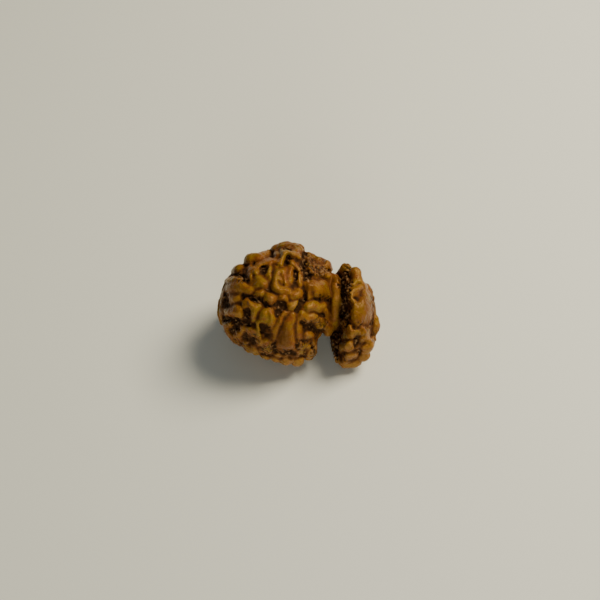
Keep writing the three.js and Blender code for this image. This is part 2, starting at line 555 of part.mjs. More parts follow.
// The corners of the box that holds some places, grown all round
function boxAround(places, grown) {
  const low = AXES.map((_, axis) => Math.min(...places.map((at) => at[axis])) - grown);
  const high = AXES.map((_, axis) => Math.max(...places.map((at) => at[axis])) + grown);
  return { low, high };
}

// Signed distance to a closed outline on the drawing, below 0 inside it
function outlineDistance(edge, x, y) {
  let nearest = Infinity;
  let inside = false;
  edge.forEach(([ax, ay], corner) => {
    const [bx, by] = edge.at(corner - 1);
    const run = ((x - ax) * (bx - ax) + (y - ay) * (by - ay)) / ((bx - ax) ** 2 + (by - ay) ** 2);
    const share = clamp(run, 0, 1);
    nearest = Math.min(nearest, Math.hypot(x - ax - (bx - ax) * share, y - ay - (by - ay) * share));
    const crosses = (ay > y) !== (by > y) && x < ax + (bx - ax) * (y - ay) / (by - ay);
    if (crosses) inside = !inside;
  });
  return inside ? -nearest : nearest;
}

// Distance to a stroke on the drawing, as a share of its spread half width there
function strokeGap({ half, at }, spread, x, y) {
  let nearest = Infinity;
  for (let part = 0; part < Math.max(at.length - 1, 1); part += 1) {
    const [ax, ay, halfA = half] = at[part];
    const [bx, by, halfB = half] = at[Math.min(part + 1, at.length - 1)];
    const length = (bx - ax) ** 2 + (by - ay) ** 2 + TINY;
    const share = clamp(((x - ax) * (bx - ax) + (y - ay) * (by - ay)) / length, 0, 1);
    const gap = Math.hypot(x - ax - (bx - ax) * share, y - ay - (by - ay) * share);
    nearest = Math.min(nearest, gap / (spread * (halfA + (halfB - halfA) * share)));
  }
  return nearest;
}

// Heights of one stone's relief over its lobes, drawn flat as the viewer sees them
class ReliefMap {
  constructor({ slabs, ridges, pits }) {
    this.columns = Math.ceil((MAP.right - MAP.left) / MAP.pitch);
    this.rows = Math.ceil((MAP.bottom - MAP.top) / MAP.pitch);
    this.heights = new Float64Array(this.columns * this.rows).fill(MAP.floor);
    slabs.forEach((slab) => this.raiseSlab(slab));
    ridges.forEach((ridge) => this.raiseRidge(ridge));
    pits.forEach((pit) => this.cutPit(pit));
    this.wearDown();
  }

  // Replaces the heights near some points by change(height, x, y)
  change(points, grown, change) {
    const columnAt = (x) => clamp(Math.round((x - MAP.left) / MAP.pitch), 0, this.columns - 1);
    const rowAt = (y) => clamp(Math.round((y - MAP.top) / MAP.pitch), 0, this.rows - 1);
    const xs = points.map(([x]) => x);
    const ys = points.map(([, y]) => y);
    const firstColumn = columnAt(Math.min(...xs) - grown - MAP.pitch);
    const lastColumn = columnAt(Math.max(...xs) + grown + MAP.pitch);
    const firstRow = rowAt(Math.min(...ys) - grown - MAP.pitch);
    const lastRow = rowAt(Math.max(...ys) + grown + MAP.pitch);
    for (let column = firstColumn; column <= lastColumn; column += 1) {
      for (let row = firstRow; row <= lastRow; row += 1) {
        const index = column * this.rows + row;
        const x = MAP.left + column * MAP.pitch;
        const y = MAP.top + row * MAP.pitch;
        this.heights[index] = change(this.heights[index], x, y);
      }
    }
  }

  // The greater of two heights, with a soft crease where something is raised
  static joined(height, raised) {
    return raised > 0 ? softMax(height, raised, MAP.blend) : height;
  }

  // A domed patch inside an outline
  raiseSlab({ high, edge }) {
    this.change(edge, SLAB.spread, (height, x, y) => {
      const inside = -outlineDistance(edge, x, y);
      const rise = clamp((inside + SLAB.spread) / SLAB.round, 0, 1);
      const crown = SLAB.dome * (clamp(inside / SLAB.domeReach, 0, 1) - 1);
      return ReliefMap.joined(height, high * Math.sin(rise * Math.PI / 2) ** SLAB.steep * (1 + crown));
    });
  }

  // A rounded ridge along a stroke
  raiseRidge(ridge) {
    this.change(ridge.at, RIDGE.spread * ridge.half, (height, x, y) => {
      const gap = strokeGap(ridge, RIDGE.spread, x, y);
      return ReliefMap.joined(height, ridge.high * Math.max(1 - gap * gap, 0) ** RIDGE.steep);
    });
  }

  // A pit with sloping sides along a stroke
  cutPit(pit) {
    const widest = Math.max(...pit.at.map(([, , half = pit.half]) => half));
    this.change(pit.at, PIT.spread * widest, (height, x, y) => {
      const share = smoothstep(PIT.slope * (1 - strokeGap(pit, PIT.spread, x, y)), 0, 1);
      return height * (1 - share) + Math.min(height, -pit.deep) * share;
    });
  }

  // Rounds the creases and edges a little, as worn wood has them
  wearDown() {
    const reach = Math.ceil(3 * MAP.wear / MAP.pitch);
    const weights = [...Array(2 * reach + 1).keys()].map((step) => {
      return Math.exp(-0.5 * ((step - reach) * MAP.pitch / MAP.wear) ** 2);
    });
    const total = weights.reduce((sum, weight) => sum + weight, 0);
    const average = (along) => this.heights.map((_, index) => {
      return weights.reduce((sum, weight, step) => {
        const column = Math.floor(index / this.rows) + (step - reach) * along[0];
        const row = (index % this.rows) + (step - reach) * along[1];
        const near = clamp(column, 0, this.columns - 1) * this.rows + clamp(row, 0, this.rows - 1);
        return sum + weight * this.heights[near] / total;
      }, 0);
    });
    this.heights = average([1, 0]);
    this.heights = average([0, 1]);
  }

  // The height drawn where a place is seen, fading out behind the outline
  at(u, v, w) {
    const nearness = 1 - w / VIEW_DISTANCE;
    const across = clamp((u / nearness + MIDDLE_X - MAP.left) / MAP.pitch, 0, this.columns - 2);
    const down = clamp((MIDDLE_Y - v / nearness - MAP.top) / MAP.pitch, 0, this.rows - 2);
    const column = Math.floor(across);
    const row = Math.floor(down);
    const index = column * this.rows + row;
    const { heights, rows } = this;
    const upper = THREE.MathUtils.lerp(heights[index], heights[index + rows], across - column);
    const lower = THREE.MathUtils.lerp(heights[index + 1], heights[index + rows + 1], across - column);
    return THREE.MathUtils.lerp(upper, lower, down - row) * smoothstep(w, FRONT.start, FRONT.end);
  }
}

// Raises a worm over some spots: rods stacked from its crest down into the stone, wider further down
function raiseWorm(field, spots, halves, high) {
  const thinnest = Math.min(...halves);
  for (let sunk = 0; sunk < high - thinnest + BURIED; sunk += STACKING * thinnest) {
    const path = spots.map(({ at, normal }, index) => add(at, normal, high - halves[index] - sunk));
    field.raiseRod(path, halves.map((half) => half + WORM_FLANK * sunk), WORM_BLEND);
  }
}

// Worms spread evenly over the sides that the drawing doesn't show
function raiseWorms(field, lobes, knobs, { middle, reach, count, draw }) {
  for (let site = 0; site < count; site += 1) {
    const rise = 1 - 2 * (site + 0.5) / count;
    const turn = site * GOLDEN_TURN + WORM_JITTER * chance(site, draw);
    const level = Math.sqrt(1 - rise * rise);
    const aim = [level * Math.cos(turn), rise, level * Math.sin(turn)];
    const { at, normal } = settle(lobes, add(middle, aim, reach));
    if (normal[2] > DRAWN_SIDE || heightOf(at) < FOOT_CLEARANCE) continue;
    const knobGap = Math.min(...knobs.map(({ path, radii }) => rodDistance(path, radii, ...at)));
    if (knobGap < KNOB_CLEARANCE && normal[2] > WORM_START) continue;
    const sideways = unit(cross(normal, AXES[1]));
    const upward = cross(sideways, normal);
    const heading = (chance(site, draw + 1) - 0.5) * WORM_TURN;
    const length = WORM.length + WORM.longer * chance(site, draw + 2);
    const bend = (chance(site, draw + 3) - 0.5) * WORM_BEND;
    const half = WORM.half + WORM.wider * chance(site, draw + 4);
    const far = clamp((WORM_START - normal[2]) / WORM_GRADE, 0, 1);
    const uneven = WORM.uneven * (chance(site, draw + 5) - 0.5);
    const spots = WORM_PARTS.map((share) => {
      const angle = heading + bend * share / WORM_PARTS.at(-1);
      const way = add(add([0, 0, 0], upward, Math.cos(angle)), sideways, Math.sin(angle));
      return settle(lobes, add(at, way, length * share));
    });
    const halves = WORM_PROFILE.map((share) => share * half);
    raiseWorm(field, spots, halves, THREE.MathUtils.lerp(WORM.low, WORM.high, far) + uneven);
  }
}

// Grooves: rods stacked from the floor up out of the stone, wider further up
function cutGrooves(field, lobes, { middle, reach }) {
  const { angles, half, deep, bend, parts } = GROOVES;
  for (const angle of angles) {
    const spots = [...Array(parts + 1).keys()].map((part) => {
      const rise = bend * (2 * part / parts - 1);
      const aim = [Math.cos(rise) * Math.sin(angle), Math.sin(rise), Math.cos(rise) * Math.cos(angle)];
      return settle(lobes, add(middle, aim, reach));
    });
    for (let lift = half - deep; lift < CLEAR; lift += STACKING * half) {
      const wide = half + GROOVE_FLANK * (lift - half + deep);
      field.cutRod(spots.map(({ at, normal }) => add(at, normal, lift)), spots.map(() => wide), GROOVE_BLEND);
    }
  }
}

// The distances to one stone with its knobs, far ridges and grooves, and drawn relief
function makeStone(field, { lobes: bare, knobs: rows, worms, grooved, ...drawn }) {
  const lobes = bare.map(shapeLobe);
  const knobs = rows.map((row) => {
    return { path: row.map(([x, y, w]) => place(x, y, w)), radii: row.map((knob) => knob[3]) };
  });
  field.changeAll((_, u, v, w) => lobesDistance(lobes, u, v, w) + VALLEY_DEPTH);
  knobs.forEach(({ path, radii }) => field.raiseRod(path, radii, KNOB_BLEND, field.places));
  raiseWorms(field, lobes, knobs, worms);
  if (grooved) cutGrooves(field, lobes, worms);
  const relief = new ReliefMap(drawn);
  field.changeAll((value, u, v, w) => value - relief.at(u, v, w), field.shifted);
  return field.values;
}

// Both stones, the neck and the join ridge as one field
function makeSeed() {
  const field = new Field();
  const large = makeStone(field, {
    lobes: LARGE_LOBES,
    knobs: LARGE_KNOBS,
    worms: LARGE_WORMS,
    grooved: true,
    slabs: LARGE_SLABS,
    ridges: LARGE_RIDGES,
    pits: LARGE_PITS,
  });
  const small = makeStone(field, {
    lobes: SMALL_LOBES,
    knobs: SMALL_KNOBS,
    worms: SMALL_WORMS,
    grooved: false,
    slabs: SMALL_SLABS,
    ridges: SMALL_RIDGES,
    pits: SMALL_PITS,
  });
  const neck = NECK_LOBES.map(shapeLobe);
  field.values = large.map((value, index) => softMin(value, small[index], STONE_BLEND));
  field.changeAll((value, u, v, w) => softMin(value, lobesDistance(neck, u, v, w), NECK_BLEND));
  for (let layer = 0; layer < JOIN.layers; layer += 1) {
    const path = JOIN.at.map((at) => add(at, AXES[2], -layer * JOIN.halves[0]));
    field.raiseRod(path, JOIN.halves, JOIN_BLEND);
  }
  return field;
}

// Meshes the place where the field is 0, by six tetrahedra in each cell, as points in millimetres
function meshField(field) {
  // Each tetrahedron runs from a cell's first corner to its last through two others
  const ways = [[1, 3], [1, 5], [2, 3], [2, 6], [4, 5], [4, 6]];
  const [ni, nj, nk] = field.size;
  const least = LEAST_SHARE * CELL;
  const level = field.values.map((value) => (value < 0 ? Math.min(value, -least) : Math.max(value, least)));
  const strides = [nj * nk, nk, 1];
  const reach = [...Array(8).keys()].map((corner) => {
    return (corner & 1 ? strides[0] : 0) + (corner & 2 ? strides[1] : 0) + (corner & 4 ? strides[2] : 0);
  });
  const known = new Map();
  const points = [];
  const faces = [];
  const crossing = (a, b) => {
    const key = Math.min(a, b) * level.length + Math.max(a, b);
    if (!known.has(key)) {
      const start = field.placeOf(a);
      const share = level[a] / (level[a] - level[b]);
      known.set(key, points.length);
      points.push(add(start, add(field.placeOf(b), start, -1), share));
    }
    return known.get(key);
  };
  // Adds a triangle that faces the way from the inner corners to the outer ones
  const addFace = (a, b, c, way) => {
    const facing = cross(add(points[b], points[a], -1), add(points[c], points[a], -1));
    faces.push(dot(facing, way) > 0 ? [a, b, c] : [a, c, b]);
  };
  const tetrahedron = (corners) => {
    const inner = corners.filter((corner) => level[corner] < 0);
    const outer = corners.filter((corner) => level[corner] >= 0);
    if (inner.length === 0 || outer.length === 0) return;
    const outerMiddle = middleOf(outer.map((corner) => field.placeOf(corner)));
    const way = add(outerMiddle, middleOf(inner.map((corner) => field.placeOf(corner))), -1);
    if (inner.length === 2) {
      const ring = [[0, 0], [0, 1], [1, 1], [1, 0]].map(([a, b]) => crossing(inner[a], outer[b]));
      addFace(ring[0], ring[1], ring[2], way);
      addFace(ring[0], ring[2], ring[3], way);
    } else {
      const [lone, others] = inner.length === 1 ? [inner[0], outer] : [outer[0], inner];
      addFace(...others.map((other) => crossing(lone, other)), way);
    }
  };
  for (let i = 0; i < ni - 1; i += 1) {
    for (let j = 0; j < nj - 1; j += 1) {
      for (let k = 0; k < nk - 1; k += 1) {
        const first = (i * nj + j) * nk + k;
        const inside = reach.filter((offset) => level[first + offset] < 0).length;
        if (inside === 0 || inside === 8) continue;
        for (const [a, b] of ways) {
          tetrahedron([first, first + reach[a], first + reach[b], first + reach[7]]);
        }
      }
    }
  }
  return { points: points.map(toWorld), faces };
}

// From steps in the drawing's directions to millimetres
function toWorld([u, v, w]) {
  const back = v * Math.sin(VIEW_RISE) - w * Math.cos(VIEW_RISE);
  return [u * STEP, back * STEP, heightOf([u, v, w]) * STEP];
}

// Keeps the largest connected piece of a mesh
function largestPiece({ points, faces }) {
  const owner = points.map((_, index) => index);
  const find = (index) => {
    let top = index;
    while (owner[top] !== top) top = owner[top];
    while (owner[index] !== top) [index, owner[index]] = [owner[index], top];
    return top;
  };
  faces.forEach(([a, b, c]) => {
    owner[find(b)] = find(a);
    owner[find(c)] = find(a);
  });
  const counts = new Map();
  faces.forEach(([a]) => counts.set(find(a), (counts.get(find(a)) ?? 0) + 1));
  const largest = [...counts.entries()].reduce((best, entry) => (entry[1] > best[1] ? entry : best))[0];
  return { points, faces: faces.filter(([a]) => find(a) === largest) };
}

// Sum of squared distances to planes, as the ten numbers of a symmetric form
function planeForm([a, b, c], d, weight) {
  return [a * a, a * b, a * c, a * d, b * b, b * c, b * d, c * c, c * d, d * d].map((part) => part * weight);
}

function formAt(form, [x, y, z]) {
  const alongX = x * (form[0] * x + 2 * (form[1] * y + form[2] * z + form[3]));
  const alongY = y * (form[4] * y + 2 * (form[5] * z + form[6]));
  return alongX + alongY + z * (form[7] * z + 2 * form[8]) + form[9];
}

// The place with the least sum, or null where the planes don't settle one
function lowestPlace(form) {
  const columns = [[form[0], form[1], form[2]], [form[1], form[4], form[5]], [form[2], form[5], form[7]]];
  const wanted = [-form[3], -form[6], -form[8]];
  const size = dot(columns[0], cross(columns[1], columns[2]));
  const scale = (form[0] + form[4] + form[7]) ** 3;
  if (Math.abs(size) < SETTLED * scale) return null;
  return [0, 1, 2].map((axis) => {
    const swapped = columns.map((column, index) => (index === axis ? wanted : column));
    return dot(swapped[0], cross(swapped[1], swapped[2])) / size;
  });
}

// A heap of possible joins, the cheapest first
class Queue {
  constructor() {
    this.items = [];
  }

  push(item) {
    const { items } = this;
    let index = items.push(item) - 1;
    while (index > 0) {
      const parent = (index - 1) >> 1;
      if (items[parent].cost <= items[index].cost) break;
      [items[parent], items[index]] = [items[index], items[parent]];
      index = parent;
    }
  }

  pop() {
    const { items } = this;
    const first = items[0];
    const last = items.pop();
    if (items.length === 0) return first;
    items[0] = last;
    let index = 0;
    for (;;) {
      const left = 2 * index + 1;
      let least = index;
      if (left < items.length && items[left].cost < items[least].cost) least = left;
      if (left + 1 < items.length && items[left + 1].cost < items[least].cost) least = left + 1;
      if (least === index) return first;
      [items[least], items[index]] = [items[index], items[least]];
      index = least;
    }
  }
}

// Thins a closed mesh: joins the two ends of an edge where that changes the form least
class Thinning {
  constructor({ points, faces }) {
    this.points = points;
    this.faces = faces;
    this.left = faces.length;
    this.around = points.map(() => new Set());
    this.forms = points.map(() => new Array(10).fill(0));
    this.ages = new Int32Array(points.length);
    this.queue = new Queue();
    faces.forEach((face, index) => {
      const normal = this.facing(face.map((corner) => points[corner]));
      const area = Math.hypot(...normal);
      const flat = add([0, 0, 0], normal, 1 / (area + TINY ** 2));
      const form = planeForm(flat, -dot(flat, points[face[0]]), area);
      face.forEach((corner) => {
        this.around[corner].add(index);
        form.forEach((part, place) => {
          this.forms[corner][place] += part;
        });
      });
    });
    faces.forEach(([a, b, c]) => [[a, b], [b, c], [c, a]].forEach(([start, end]) => {
      if (start < end) this.offer(start, end);
    }));
  }

  facing([a, b, c]) {
    return cross(add(b, a, -1), add(c, a, -1));
  }

  offer(a, b) {
    const form = this.forms[a].map((part, place) => part + this.forms[b][place]);
    const [start, end] = [this.points[a], this.points[b]];
    const halfway = add(add([0, 0, 0], start, 0.5), end, 0.5);
    const span = Math.hypot(...add(end, start, -1));
    const lowest = lowestPlace(form);
    const close = lowest !== null && Math.hypot(...add(lowest, halfway, -1)) < NEAR_EDGES * span;
    const options = close ? [lowest] : [halfway, start, end];
    const costs = options.map((option) => Math.max(0, formAt(form, option)));
    const cheapest = costs.indexOf(Math.min(...costs));
    const cost = costs[cheapest] + EVENNESS * span ** 4;
    this.queue.push({ cost, a, b, at: options[cheapest], age: this.ages[a] + this.ages[b] });
  }

  neighbours(point) {
    const found = new Set();
    this.around[point].forEach((face) => this.faces[face].forEach((corner) => found.add(corner)));
    found.delete(point);
    return found;
  }

  // How far a triangle is from a line: 0.87 with even sides, 0 where it has no area
  fullness([a, b, c]) {
    const sides = [add(b, a, -1), add(c, b, -1), add(a, c, -1)].map((side) => Math.hypot(...side));
    return Math.hypot(...this.facing([a, b, c])) / (Math.max(...sides) ** 2 + TINY ** 2);
  }

  // Whether a point's faces that don't hold the other point keep facing as they did and stay full enough
  keepsFacing(point, other, at) {
    for (const index of this.around[point]) {
      const face = this.faces[index];
      if (face.includes(other)) continue;
      const before = face.map((corner) => this.points[corner]);
      const after = face.map((corner) => (corner === point ? at : this.points[corner]));
      const fullness = this.fullness(before);
      if (this.fullness(after) < Math.min(THINNEST, fullness)) return false;
      if (dot(unit(this.facing(before)), unit(this.facing(after))) < SAME_WAY) return false;
    }
    return true;
  }

  join({ a, b, at }) {
    const shared = [...this.neighbours(a)].filter((point) => this.neighbours(b).has(point));
    if (shared.length !== 2) return;
    if (!this.keepsFacing(a, b, at) || !this.keepsFacing(b, a, at)) return;
    this.points[a] = at;
    this.forms[a] = this.forms[a].map((part, place) => part + this.forms[b][place]);
    for (const index of this.around[b]) {
      const face = this.faces[index];
      if (face.includes(a)) {
        face.forEach((corner) => this.around[corner].delete(index));
        this.faces[index] = null;
        this.left -= 1;
      } else {
        face[face.indexOf(b)] = a;
        this.around[a].add(index);
      }
    }
    this.around[b] = new Set();
    this.ages[a] += 1;
    this.neighbours(a).forEach((point) => this.offer(a, point));
  }

  run(limit) {
    while (this.left > limit && this.queue.items.length > 0) {
      const item = this.queue.pop();
      const current = this.around[item.a].size > 0 && this.around[item.b].size > 0;
      if (current && item.age === this.ages[item.a] + this.ages[item.b]) this.join(item);
    }
    return { points: this.points, faces: this.faces.filter((face) => face !== null) };
  }
}

function toGeometry({ points, faces }) {
  const renumbered = new Map();
  faces.flat().forEach((corner) => {
    if (!renumbered.has(corner)) renumbered.set(corner, renumbered.size);
  });
  const geometry = new THREE.BufferGeometry();
  const positions = [...renumbered.keys()].flatMap((corner) => points[corner]);
  geometry.setAttribute('position', new THREE.Float32BufferAttribute(positions, 3));
  geometry.setIndex(faces.flat().map((corner) => renumbered.get(corner)));
  return geometry;
}

function toSolid(wasm, geometry) {
  const vertProperties = new Float32Array(geometry.attributes.position.array);
  const triVerts = new Uint32Array(geometry.index.array);
  return new wasm.Manifold(new wasm.Mesh({ numProp: 3, vertProperties, triVerts }));
}

// Cuts the seed flat where it rests and puts its origin at the middle of its box, on the ground
function restFlat(wasm, geometry) {
  const ground = new THREE.BoxGeometry(3 * LENGTH, 3 * LENGTH, LENGTH);
  ground.translate(0, 0, -LENGTH / 2);
  ground.deleteAttribute('normal');
  ground.deleteAttribute('uv');
  const mesh = toSolid(wasm, geometry).subtract(toSolid(wasm, mergeVertices(ground))).getMesh();
  const cut = new THREE.BufferGeometry();
  cut.setAttribute('position', new THREE.Float32BufferAttribute(mesh.vertProperties, 3));
  cut.setIndex([...mesh.triVerts]);
  cut.computeBoundingBox();
  const middle = cut.boundingBox.getCenter(new THREE.Vector3());
  cut.translate(-middle.x, -middle.y, 0);
  cut.computeVertexNormals();
  return cut;
}

const wasm = await Module();
wasm.setup();

const thinned = new Thinning(largestPiece(meshField(makeSeed()))).run(TRIANGLES);
const wood = new THREE.MeshStandardMaterial({ color: 0x9a5f1c, roughness: 0.45, metalness: 0 });
const seed = new THREE.Mesh(restFlat(wasm, toGeometry(thinned)), wood);
seed.name = 'rudraksha_seed';

const group = new THREE.Group();
group.add(seed);

export default group;
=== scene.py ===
"""Twin rudraksha seed: the woody stone in full detail, on a pale floor in soft light.

The seed's form is read as it looks from the front and above. A step is one unit of that drawing:
u runs to the right, v runs up in that view and w runs towards the viewer.
"""
from __future__ import annotations

import logging
import math
from dataclasses import dataclass
from enum import Enum
from typing import Callable, Sequence

import bpy
import numpy as np
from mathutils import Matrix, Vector, noise


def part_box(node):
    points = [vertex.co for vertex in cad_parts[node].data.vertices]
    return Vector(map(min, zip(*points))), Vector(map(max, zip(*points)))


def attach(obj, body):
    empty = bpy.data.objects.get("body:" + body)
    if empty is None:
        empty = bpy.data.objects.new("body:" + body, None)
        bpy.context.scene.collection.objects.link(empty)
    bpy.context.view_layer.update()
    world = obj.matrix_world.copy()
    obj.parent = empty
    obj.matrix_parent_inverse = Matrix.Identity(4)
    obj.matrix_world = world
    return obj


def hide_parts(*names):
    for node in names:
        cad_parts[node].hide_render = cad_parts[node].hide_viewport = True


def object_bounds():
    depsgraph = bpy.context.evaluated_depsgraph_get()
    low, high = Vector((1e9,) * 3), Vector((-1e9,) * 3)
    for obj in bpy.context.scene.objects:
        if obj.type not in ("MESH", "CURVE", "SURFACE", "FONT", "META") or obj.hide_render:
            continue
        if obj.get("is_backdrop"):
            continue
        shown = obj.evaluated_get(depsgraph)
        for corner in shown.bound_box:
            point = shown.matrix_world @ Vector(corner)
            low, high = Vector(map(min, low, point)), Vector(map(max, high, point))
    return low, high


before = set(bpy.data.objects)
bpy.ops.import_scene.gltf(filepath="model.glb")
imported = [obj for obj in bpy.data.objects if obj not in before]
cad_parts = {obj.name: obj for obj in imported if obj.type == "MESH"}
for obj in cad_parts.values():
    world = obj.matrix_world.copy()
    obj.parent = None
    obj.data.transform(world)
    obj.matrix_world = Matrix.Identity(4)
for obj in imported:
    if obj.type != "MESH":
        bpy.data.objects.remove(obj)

LOG = logging.getLogger("seed")
SEED_NODE = "rudraksha_seed"

Place = np.ndarray
Points = tuple[tuple[float, ...], ...]


class Relief(Enum):
    """How a mark changes the wood."""

    RAISED = 1
    CUT = -1


@dataclass(frozen=True)
class Lobe:
    """One ellipsoid of a stone.

    Args:
        middle: x and y on the drawing, and w.
        radii: Radii along u, v and w, in steps.
        lean: Turn about v, in degrees.
        flat_face: Whether a flat face halves it.
    """

    middle: tuple[float, float, float]
    radii: tuple[float, float, float]
    lean: float = 0.0
    flat_face: bool = False


@dataclass(frozen=True)
class Stroke:
    """A ridge or pit drawn along points.

    Args:
        half: Half width, in steps.
        height: Height over the lobes, or depth under them.
        at: Points on the drawing, some with their own half width.
    """

    half: float
    height: float
    at: Points


@dataclass(frozen=True)
class Slab:
    """A raised patch inside an outline on the drawing."""

    height: float
    edge: Points


@dataclass(frozen=True)
class Patch:
    """A granular patch of the surface.

    Args:
        x: Its middle across the drawing.
        y: Its middle down the drawing.
        half_x: Half its width.
        half_y: Half its height.
        dark: How dark it is, from 0 to 1.
    """

    x: float
    y: float
    half_x: float
    half_y: float
    dark: float = 0.6


@dataclass(frozen=True)
class Worms:
    """Worm-like ridges spread over the sides that the drawing doesn't reach.

    Args:
        middle: Place they are spread around.
        reach: Distance from there at which they are aimed.
        count: Number of sites on the whole stone.
        draw: First of the repeatable draws they use.
    """

    middle: tuple[float, float, float]
    reach: float
    count: int
    draw: int


@dataclass(frozen=True)
class View:
    """Where the drawing is seen from."""

    rise: float = math.radians(52)
    distance: float = 1336.0
    middle_x: float = 275.0
    middle_y: float = 304.0
    photo_middle: tuple[float, float] = (300.0, 300.0)
    photo_width: float = 600.0
    ground_drop: float = 49.4


@dataclass(frozen=True)
class Blends:
    """How softly forms run into each other, in steps."""

    lobe: float = 8.0
    face: float = 6.0
    knob: float = 1.8
    ridge: float = 2.6
    pit: float = 1.6
    slab_edge: float = 4.5
    stone: float = 1.0
    neck: float = 3.0


VIEW = View()
BLENDS = Blends()

VALLEY_DEPTH = 0.2
DRIFT = 0.55
STACKING = 1.5
MAP_LEFT = 205.0
MAP_RIGHT = 392.0
MAP_TOP = 232.0
MAP_BOTTOM = 378.0
MAP_PITCH = 0.5
MAP_BLEND = 1.2
MAP_FLOOR = 0.4
MAP_SOFTNESS = 0.8
SLAB_SPREAD = 2.0
SLAB_ROUND = 7.2
RIDGE_SPREAD = 1.9
PIT_SPREAD = 2.3
FRONT_START = -14.0
FRONT_END = 6.0
PATCH_START = -24.0
PATCH_END = -12.0
FLANK = 0.35
PIT_FLANK = 0.3
DOME = 0.34
DOME_REACH = 8.0
BURIED = 3.0
CLEAR = 7.0
MARGIN = 4.6
GOLDEN_TURN = 2.399963
DRAWN_SIDE = 0.22
FOOT_CLEARANCE = 3.0
WORM_HEIGHT = 5.2
WORM_LOW = 2.2
WORM_START = -0.2
WORM_GRADE = 0.4
KNOB_CLEARANCE = 3.0
GROOVE_ANGLES = (2.55, 3.75, 4.75)
GROOVE_HALF = 1.8
GROOVE_DEPTH = 2.2
GROOVE_BEND = 1.15
GROOVE_PARTS = 12

# The sampled box and the width of its cells, in steps
LOW = (-66.0, -70.0, -66.0)
HIGH = (112.0, 70.0, 62.0)
CELL = 0.98

LARGE_LOBES = (
    Lobe((272, 306, 0), (50.5, 48, 50)),
    Lobe((299, 300, -4), (28, 45, 42)),
    Lobe((286, 334, -2), (28, 28, 38)),
    Lobe((311, 276, -10), (16, 18, 30)),
    Lobe((289, 262, -2), (17, 17, 25)),
)
SMALL_LOBES = (Lobe((339, 318, -5), (32.5, 47, 37), lean=18, flat_face=True),)
NECK_LOBES = (Lobe((335, 303, -22), (20, 24, 18)),)

# The ridge along the join: half widths, and places as u, v and w
JOIN_HALVES = (4.4, 5.4, 5.2, 5.8, 5.2, 5.4, 4.2)
JOIN_PLACES = ((59.6, 25, 2), (60.8, 18, 6), (59.8, 9, 8), (60.6, 0, 9), (59.6, -9, 8), (58.6, -17, 5), (56, -23, 0))
JOIN_BLEND = 4.0
JOIN_LAYERS = 4

# Granular patches: middle, half width and half height on the drawing, and darkness; the darkest, on the small
# stone's inner face, also carry painted shade
PATCHES = (
    Patch(243, 278, 7, 5, 0.6),
    Patch(318, 271, 13, 6, 0.85),
    Patch(310, 262, 7, 7, 0.55),
    Patch(304, 267, 3, 6, 0.9),
    Patch(308, 278, 5, 4, 0.8),
    Patch(252, 340, 9, 7, 0.6),
    Patch(266, 330, 6, 6, 0.7),
    Patch(268, 350, 8, 6, 0.6),
    Patch(301, 345, 6, 5, 0.6),
    Patch(308, 324, 7, 5, 0.6),
    Patch(322, 324, 8, 9, 0.5),
    Patch(321, 298, 9, 4, 0.4),
    Patch(347, 284, 6, 20, 0.85),
    Patch(346, 312, 6, 18, 1.0),
    Patch(335.5, 349, 5, 15, 0.9),
    Patch(280, 308, 6, 6, 0.6),
    Patch(237, 323, 8, 5, 0.5),
    Patch(228, 322, 7, 5, 0.4),
    Patch(226, 299, 3, 8, 0.6),
    Patch(284, 352, 12, 3, 0.5),
    Patch(310, 342, 6, 3, 0.6),
    Patch(314, 352, 4, 9, 0.6),
    Patch(305, 352, 3, 5, 0.5),
    Patch(235, 343, 10, 5, 0.4),
    Patch(341, 280, 5, 9, 0.7),
    Patch(362, 330, 8, 9, 0.3),
    Patch(375, 335, 5, 9, 0.4),
    Patch(373, 299, 2.5, 14, 0.55),
)

# Areas darkened browner, partly browner wood and partly painted shade, and areas lightened with painted light, as in
# PATCHES but without granules
BROWNING_AND_SHADE = (
    Patch(285, 337, 9, 14, 0.85),
    Patch(311, 289, 5, 9, 0.7),
    Patch(325, 291, 7, 8, 0.3),
    Patch(365, 310, 10, 18, 0.45),
    Patch(318, 260, 11, 5, 0.55),
    Patch(296, 245, 12, 4, 0.3),
    Patch(351, 278, 5, 6, 0.4),
    Patch(245, 345, 16, 6, 0.4),
)
# Patches lightened with painted light, where the seed would be lit more
PAINTED_LIGHT = (
    Patch(337, 305, 4, 22, 0.45),
    Patch(318, 314, 11, 10, 0.4),
    Patch(291, 359, 12, 5, 0.45),
    Patch(312, 350, 6, 8, 0.35),
    Patch(223, 311, 4, 13, 0.6),
    Patch(233, 299, 7, 7, 0.25),
)

# Low relief that only shows close by: a fill between two slabs and the corner's smooth knob
FINE_SLABS = (Slab(3.4, ((223, 288), (243, 289), (243, 296), (224, 296))),)
FINE_RIDGES = (Stroke(2.0, 4.0, ((326.5, 263.0), (327.5, 266.5))),)

LARGE_WORMS = Worms((6, 0, 0), 50, 220, 11)
SMALL_WORMS = Worms((68, -13, -5), 34, 120, 31)

